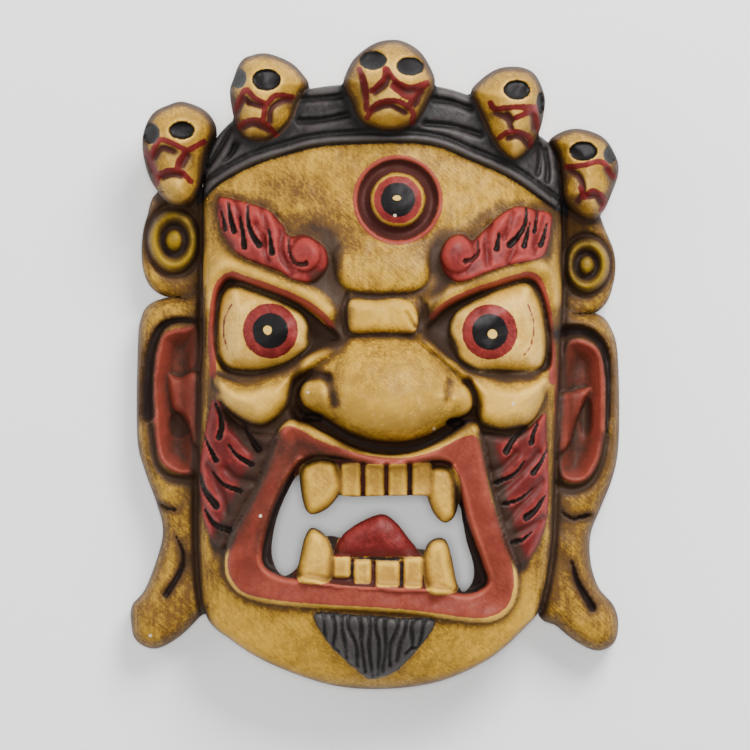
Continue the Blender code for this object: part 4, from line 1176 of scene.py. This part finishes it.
def body_mesh():
    """The closed body in drawn millimetres, with a layer of values for each finish."""
    body = trimmed_sheet()
    crowd_edges(body)
    body.verts.index_update()
    flat = np.array([vert.co[:2] for vert in body.verts])
    edges = np.array([[vert.index for vert in edge.verts] for edge in body.edges])
    high = front_height(*flat.T)
    low = np.clip(np.minimum(back_height(*flat.T), high - THINNEST), 0, None)

    values = {name: np.full(len(flat), -PAINT_REACH) for name in LAYERS}

    def paint(name, depth):
        values[name] = np.maximum(values[name], np.clip(depth, -PAINT_REACH, PAINT_REACH))

    for painter in (paint_ears, paint_discs, paint_brows, paint_eyes, paint_nose,
                    paint_flames, paint_mouth, paint_beard, paint_crown, paint_skulls):
        painter(*flat.T, paint)
    for chip_x, chip_y, radius in CHIPS:
        paint("chip", radius - np.hypot(flat[:, 0] - chip_x, flat[:, 1] - chip_y))
    values["wash"] = soften(values["wash"], edges, WASH_ROUNDS)
    fine = soften(high, edges, FINE_ROUNDS)
    middle = soften(fine, edges, MIDDLE_ROUNDS)
    broad = soften(middle, edges, BROAD_ROUNDS)
    values["crease"] = fine - high
    values["hollow"] = middle - fine
    values["basin"] = broad - middle
    values["inside"] = np.zeros(len(flat))

    layers = {name: body.verts.layers.float.new(name) for name in values}
    for vert in body.verts:
        for name, layer in layers.items():
            vert[layer] = values[name][vert.index]
    source = body.verts.layers.int.new("source")
    for vert in body.verts:
        vert[source] = vert.index
    back_verts = list(body.verts)
    made = bmesh.ops.extrude_face_region(body, geom=list(body.faces), use_keep_orig=True)
    front_verts = [item for item in made["geom"] if isinstance(item, bmesh.types.BMVert)]
    rim_edges = []
    front_set = set(front_verts)
    for edge in body.edges:
        first, second = edge.verts
        if (first in front_set) != (second in front_set):
            rim_edges.append(edge)
    for vert in front_verts:
        vert.co.z = high[vert[source]]
    for vert in back_verts:
        vert.co.z = low[vert[source]]
        vert[layers["inside"]] = 1.0
    bmesh.ops.subdivide_edges(body, edges=rim_edges, cuts=WALL_CUTS, use_grid_fill=True)
    bmesh.ops.recalc_face_normals(body, faces=body.faces)
    bmesh.ops.triangulate(body, faces=body.faces)
    mesh = bpy.data.meshes.new("mask_carving")
    body.to_mesh(mesh)
    body.free()
    return mesh


def thin_back(piece):
    """Collapse small facets on the plain back, and leave the carved front alone."""
    inside = np.zeros(len(piece.data.vertices), dtype=np.float32)
    piece.data.attributes["inside"].data.foreach_get("value", inside)
    group = piece.vertex_groups.new(name="back")
    group.add([int(index) for index in np.flatnonzero(inside > 0.99)], 1.0, "REPLACE")
    faces = len(piece.data.polygons)
    back = int(np.count_nonzero(inside > 0.99)) * 2
    thinner = piece.modifiers.new("thinner", "DECIMATE")
    thinner.ratio = (faces - back + BACK_TRIANGLES) / faces
    thinner.vertex_group = "back"
    thinner.vertex_group_factor = 100.0
    view = piece.evaluated_get(bpy.context.evaluated_depsgraph_get())
    mesh = bpy.data.meshes.new_from_object(view)
    piece.modifiers.clear()
    piece.vertex_groups.clear()
    piece.data = mesh


def fit_to_frame(mesh):
    """Set the drawn body to its real size and place, so that it fills the CAD mask's box."""
    low, high = (np.array(corner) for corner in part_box("mask"))
    places = np.zeros(len(mesh.vertices) * 3)
    mesh.vertices.foreach_get("co", places)
    places = places.reshape(-1, 3)
    drawn_low = places.min(axis=0)
    places = low + (places - drawn_low) * (high - low) / (places.max(axis=0) - drawn_low)
    mesh.vertices.foreach_set("co", places.ravel())
    mesh.update()


carving = bpy.data.objects.new("mask_carving", body_mesh())
bpy.context.collection.objects.link(carving)
thin_back(carving)
carving.data.name = "mask_carving"
fit_to_frame(carving.data)
carving.data.shade_smooth()


# The finish.
# Ochre, red, salmon, yellow and black distemper on the bare wood, rubbed back on the
# high places, where a painted highlight lightens it too, then a brown wash that stays in
# the cuts, painted shade in the hollows and on the sides of the forms, and a satin wax
# over all. The hollow behind is bare wood, stained brown by the wash.
class Socket:
    """A number in the material, which can be added, multiplied and compared."""

    def __init__(self, tree, socket):
        self.tree = tree
        self.socket = socket

    def math(self, operation, *others, clamp=False):
        """A Math node on this value and the others."""
        made = self.tree.nodes.new("ShaderNodeMath")
        made.operation = operation
        made.use_clamp = clamp
        for port, value in zip(made.inputs, (self,) + others):
            feed(self.tree, port, value)
        return Socket(self.tree, made.outputs[0])

    def __add__(self, other):
        return self.math("ADD", other)

    __radd__ = __add__

    def __mul__(self, other):
        return self.math("MULTIPLY", other)

    __rmul__ = __mul__

    def __sub__(self, other):
        return self.math("SUBTRACT", other)

    def __rsub__(self, other):
        return (self * -1) + other

    def __truediv__(self, other):
        return self.math("DIVIDE", other)

    def __rtruediv__(self, other):
        return self.math("POWER", -1.0) * other

    def clamp(self):
        """This value held between 0 and 1."""
        return self.math("ADD", 0.0, clamp=True)

    def most(self, other):
        """The larger of two values."""
        return self.math("MAXIMUM", other)

    def least(self, other):
        """The smaller of two values."""
        return self.math("MINIMUM", other)


def feed(tree, port, value):
    """Link a value to a port of a node, or set the port where the value is a plain one."""
    if isinstance(value, Socket):
        tree.links.new(value.socket, port)
    else:
        port.default_value = value


class Finish:
    """A material whose nodes are made one call at a time."""

    def __init__(self, name):
        self.material = bpy.data.materials.new(name)
        self.material.use_nodes = True
        self.tree = self.material.node_tree
        self.shader = self.tree.nodes["Principled BSDF"]

    def node(self, kind, settings=None, output=0, **sockets):
        """A node of this type. A socket is given by name, or as its number after a "_"."""
        made = self.tree.nodes.new(kind)
        for name, value in (settings or {}).items():
            setattr(made, name, value)
        for name, value in sockets.items():
            key = int(name[1:]) if name[1:].isdigit() else name
            feed(self.tree, made.inputs[key], value)
        return Socket(self.tree, made.outputs[output])

    def layer(self, name):
        """One of the layers of values that the mesh carries."""
        return self.node("ShaderNodeAttribute", {"attribute_name": name}, output=2)

    def noise(self, place, size, detail=2.0, roughness=0.5):
        """Noise between 0 and 1, whose grains are about this many metres across."""
        return self.node("ShaderNodeTexNoise", {"noise_dimensions": "3D"}, Vector=place,
                         Scale=1.0 / size, Detail=detail, Roughness=roughness)

    def blend(self, share, first, second):
        """Two colours blended by a share from 0 to 1."""
        return self.node("ShaderNodeMix", {"data_type": "RGBA", "clamp_factor": True},
                         output=2, _0=share, _6=first, _7=second)

    def stretched(self, place, scale, turn=0.0):
        """The same place, turned about the view and then stretched along its axes."""
        turned = self.node("ShaderNodeMapping", Vector=place, Rotation=(0.0, 0.0, turn))
        return self.node("ShaderNodeMapping", Vector=turned, Scale=scale)


# Linear colours of the paints, each with the shade it is rubbed or stained to. The
# rubbed colours stand also for a painted highlight on the high places.
SKIN_BRIGHT = (0.74, 0.43, 0.075, 1)
SKIN_PALE = (0.53, 0.295, 0.030, 1)
SKIN_MID = (0.33, 0.180, 0.016, 1)
SKIN_DARK = (0.135, 0.062, 0.009, 1)
SALMON = (0.165, 0.028, 0.017, 1)
SALMON_RUBBED_AND_LIT = (0.32, 0.068, 0.040, 1)
LID_RED = (0.19, 0.028, 0.017, 1)
RED = (0.095, 0.0080, 0.0072, 1)
RED_RUBBED_AND_LIT = (0.31, 0.038, 0.032, 1)
YELLOW = (0.26, 0.155, 0.005, 1)
YELLOW_DEEP = (0.14, 0.080, 0.012, 1)
IVORY = (0.64, 0.37, 0.045, 1)
IVORY_DEEP = (0.36, 0.19, 0.03, 1)
MAROON = (0.055, 0.015, 0.012, 1)
WASH = (0.030, 0.016, 0.010, 1)
DARK = (0.018, 0.011, 0.009, 1)
INK = (0.004, 0.003, 0.003, 1)
BLACK = (0.013, 0.011, 0.011, 1)
BLACK_RUBBED_AND_LIT = (0.085, 0.076, 0.072, 1)
GOLD = (0.64, 0.40, 0.08, 1)
EYEBALL = (0.46, 0.25, 0.028, 1)
EYEBALL_RUBBED_AND_LIT = (0.72, 0.44, 0.10, 1)
CHIP = (0.60, 0.50, 0.36, 1)
BARE_WOOD = (0.34, 0.19, 0.08, 1)
BARE_WOOD_DARK = (0.15, 0.075, 0.03, 1)

# How much each thing adds to the brown in the paint: patina and painted shade in the creases,
# hollows and low places, the wash, and the painted shade of the shade layer.
CREASE_PATINA_AND_SHADE = 0.34
HOLLOW_PATINA_AND_SHADE = 0.09
BASIN_PATINA_AND_SHADE = 0.06
WASH_SOIL = 1.35
SHADE_DARKENING = 0.65
GRAIN_STAIN = 0.75
CLOUD_STAIN = 1.3
WASH_STRENGTH = 0.95
BRIGHT_STRENGTH = 0.85
SATIN = 0.52
SPECULAR = 0.22
BRUSH_MARK_HEIGHT = 0.0008

finish = Finish("painted_wood")
place = finish.node("ShaderNodeTexCoord", output="Object")
cloud = finish.noise(place, 0.045, 3.0)
mottle = finish.noise(place, 0.011, 4.0, 0.6)
dab = finish.noise(place, 0.0035, 3.0, 0.6)
speck = finish.noise(place, 0.0011, 2.0)
streak = finish.noise(finish.stretched(place, (1.0, 0.12, 1.0)), 0.0022, 3.0, 0.6)
wobble = (dab - 0.5) * 1.1 + (speck - 0.5) * 0.5


def painted(name, softness=0.4):
    """Where a layer is painted, with the small wobble of a brush along its edge."""
    return ((finish.layer(name) + wobble) / softness + 0.5).clamp()


crease = finish.layer("crease")
hollow = finish.layer("hollow")
basin = finish.layer("basin")
brushed = ((finish.layer("wash") + 2.6) / 4.6).clamp()
shaded = ((finish.layer("shade") + 3.0) / 7.0).clamp()
slant = finish.noise(finish.stretched(place, (0.1, 1.0, 1.0), 0.75), 0.0011, 4.0, 0.65)
grain = ((streak - 0.5) * 1.6 + (slant - 0.5) * 2.6 + (mottle - 0.5) * 1.6
         + (dab - 0.5) * 1.0 + (speck - 0.5) * 1.4)
# Patina and painted shade: darker in the creases, hollows and low places, under the wash and where
# shade is painted.
patina_and_shade = (crease.most(-0.4).least(1.2) * CREASE_PATINA_AND_SHADE + hollow.most(-1.5).least(4.0) * HOLLOW_PATINA_AND_SHADE
        + basin.most(-2.0).least(5.0) * BASIN_PATINA_AND_SHADE + brushed * WASH_SOIL + shaded * SHADE_DARKENING)
# Dirt, grain stains and painted shade together.
dirt_and_shade = patina_and_shade + grain * GRAIN_STAIN + (cloud - 0.5) * CLOUD_STAIN
# Paint rubbed pale on convex edges and where the dirt and the painted shade are light: worn paint
# and a painted highlight.
edge_wear_and_highlight = (crease * -0.9 - 0.15 + grain * 0.3).clamp()
wear_and_highlight = (0.15 - dirt_and_shade * 0.7 + edge_wear_and_highlight).clamp()

# Skin from pale to dark with the dirt and the painted shade.
surface = finish.blend((dirt_and_shade * 1.3 + 0.85).clamp(), SKIN_PALE, SKIN_MID)
surface = finish.blend((dirt_and_shade * 1.3 - 0.05).clamp(), surface, SKIN_DARK)
# Pale skin on the edges and high places, kept off the painted shade: worn paint and a painted
# highlight.
bright = edge_wear_and_highlight + basin * -0.2 + grain * 0.5 - shaded * 0.9 - 0.25
surface = finish.blend(bright.clamp() * BRIGHT_STRENGTH, surface, SKIN_BRIGHT)


def coats(surface, coat_list):
    """Lay each named paint over the surface, rubbed through and lit by a painted highlight on the
    high places.
    """
    for layer_name, body_colour, rubbed_and_lit_colour, wear_and_highlight_strength in coat_list:
        coat = finish.blend((wear_and_highlight * wear_and_highlight_strength).clamp(), body_colour, rubbed_and_lit_colour)
        surface = finish.blend(painted(layer_name), surface, coat)
    return surface


surface = coats(surface, (
    ("eyeball", EYEBALL, EYEBALL_RUBBED_AND_LIT, 1.6),
    ("salmon", SALMON, SALMON_RUBBED_AND_LIT, 0.7), ("lid", LID_RED, SALMON_RUBBED_AND_LIT, 0.4),
    ("red", RED, RED_RUBBED_AND_LIT, 0.8), ("yellow", YELLOW_DEEP, YELLOW, 1.4),
    ("tooth", IVORY_DEEP, IVORY, 1.4), ("tongue", RED, RED_RUBBED_AND_LIT, 0.8)))
# The brown of the wash, laid where the patina and the painted shade are strong.
wash = (patina_and_shade + grain * 0.28 + (cloud - 0.5) * 0.5 - 0.42).clamp() * WASH_STRENGTH
surface = finish.blend(wash, surface, WASH)
surface = coats(surface, (
    ("maroon", MAROON, MAROON, 0.0), ("dark", DARK, DARK, 0.0),
    ("corner", WASH, SKIN_DARK, 0.3), ("black", BLACK, BLACK_RUBBED_AND_LIT, 0.6),
    ("ink", INK, INK, 0.0), ("blood", RED, RED_RUBBED_AND_LIT, 0.5), ("gold", GOLD, GOLD, 0.0),
    ("chip", CHIP, CHIP, 0.0)))

bare = finish.blend((streak * 1.2 + cloud * 0.6 - 0.5).clamp(), BARE_WOOD_DARK, BARE_WOOD)
surface = finish.blend((finish.layer("inside") * 4 - 1.5).clamp(), surface, bare)

feed(finish.tree, finish.shader.inputs["Base Color"], surface)
rough = (SATIN + (mottle - 0.5) * 0.25 + wash * 0.12 + (dab - 0.5) * 0.1).clamp()
feed(finish.tree, finish.shader.inputs["Roughness"], rough)
finish.shader.inputs["Specular IOR Level"].default_value = SPECULAR
relief = streak * 0.5 + mottle * 0.8 + dab * 0.5 + speck * 0.15
bump = finish.node("ShaderNodeBump", Strength=0.5, Distance=BRUSH_MARK_HEIGHT, Height=relief)
feed(finish.tree, finish.shader.inputs["Normal"], bump)
carving.data.materials.clear()
carving.data.materials.append(finish.material)

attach(carving, "root")
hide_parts("mask")


# The floor, the light and the camera.
# A pale seamless floor under soft studio light, seen from straight above, as the mask
# lies on its back.
FLOOR_SIZE = 12.0
FLOOR_COLOUR = (0.9, 0.9, 0.9, 1.0)
FLOOR_GAP = 0.0005
FLOOR_ROUGHNESS = 0.7
WORLD_LIGHT = 0.35
FACE = (0, 0, 0.04)
CAMERA_HEIGHT = 4.0
FACE_PLANE = 0.05
SENSOR = 36.0
VIEW_WIDTH = 0.375
PHOTO_MIDDLE = 375
MASK_MIDDLE_ROW = 366
PIXEL = 0.0005

floor_mesh = bmesh.new()
bmesh.ops.create_grid(floor_mesh, x_segments=1, y_segments=1, size=FLOOR_SIZE / 2)
floor_data = bpy.data.meshes.new("floor")
floor_mesh.to_mesh(floor_data)
floor_mesh.free()
floor = bpy.data.objects.new("floor", floor_data)
floor.location.z = -FLOOR_GAP
bpy.context.collection.objects.link(floor)
floor_finish = Finish("pale_floor")
floor_finish.shader.inputs["Base Color"].default_value = FLOOR_COLOUR
floor_finish.shader.inputs["Roughness"].default_value = FLOOR_ROUGHNESS
floor_data.materials.append(floor_finish.material)

world = bpy.data.worlds.new("studio")
world.use_nodes = True
world.node_tree.nodes["Background"].inputs["Color"].default_value = (1.0, 1.0, 1.0, 1.0)
world.node_tree.nodes["Background"].inputs["Strength"].default_value = WORLD_LIGHT
bpy.context.scene.world = world


def softbox(name, place_at, aim, size, power):
    """A square studio light that faces a point."""
    data = bpy.data.lights.new(name, "AREA")
    data.size = size
    data.energy = power
    lamp = bpy.data.objects.new(name, data)
    lamp.location = place_at
    lamp.rotation_mode = "QUATERNION"
    facing = Vector(aim) - Vector(place_at)
    lamp.rotation_quaternion = facing.to_track_quat("-Z", "Y")
    bpy.context.collection.objects.link(lamp)
    return lamp


top_light = softbox("top_light", (0, 0, 5.0), (0, 0, 0), size=0.8, power=190)
top_light.visible_glossy = False
softbox("key_light", (0.6, 1.1, 1.2), FACE, size=0.8, power=50)
softbox("fill_light", (-1.2, 0.4, 1.1), FACE, size=0.9, power=9)

camera_data = bpy.data.cameras.new("camera")
camera_data.sensor_width = SENSOR
camera_data.lens = SENSOR * (CAMERA_HEIGHT - FACE_PLANE) / VIEW_WIDTH
camera = bpy.data.objects.new("camera", camera_data)
middle = (Vector(cad_low) + Vector(cad_high)) / 2
camera.location = (middle.x, middle.y - (PHOTO_MIDDLE - MASK_MIDDLE_ROW) * PIXEL,
                   CAMERA_HEIGHT)
bpy.context.collection.objects.link(camera)
bpy.context.scene.camera = camera
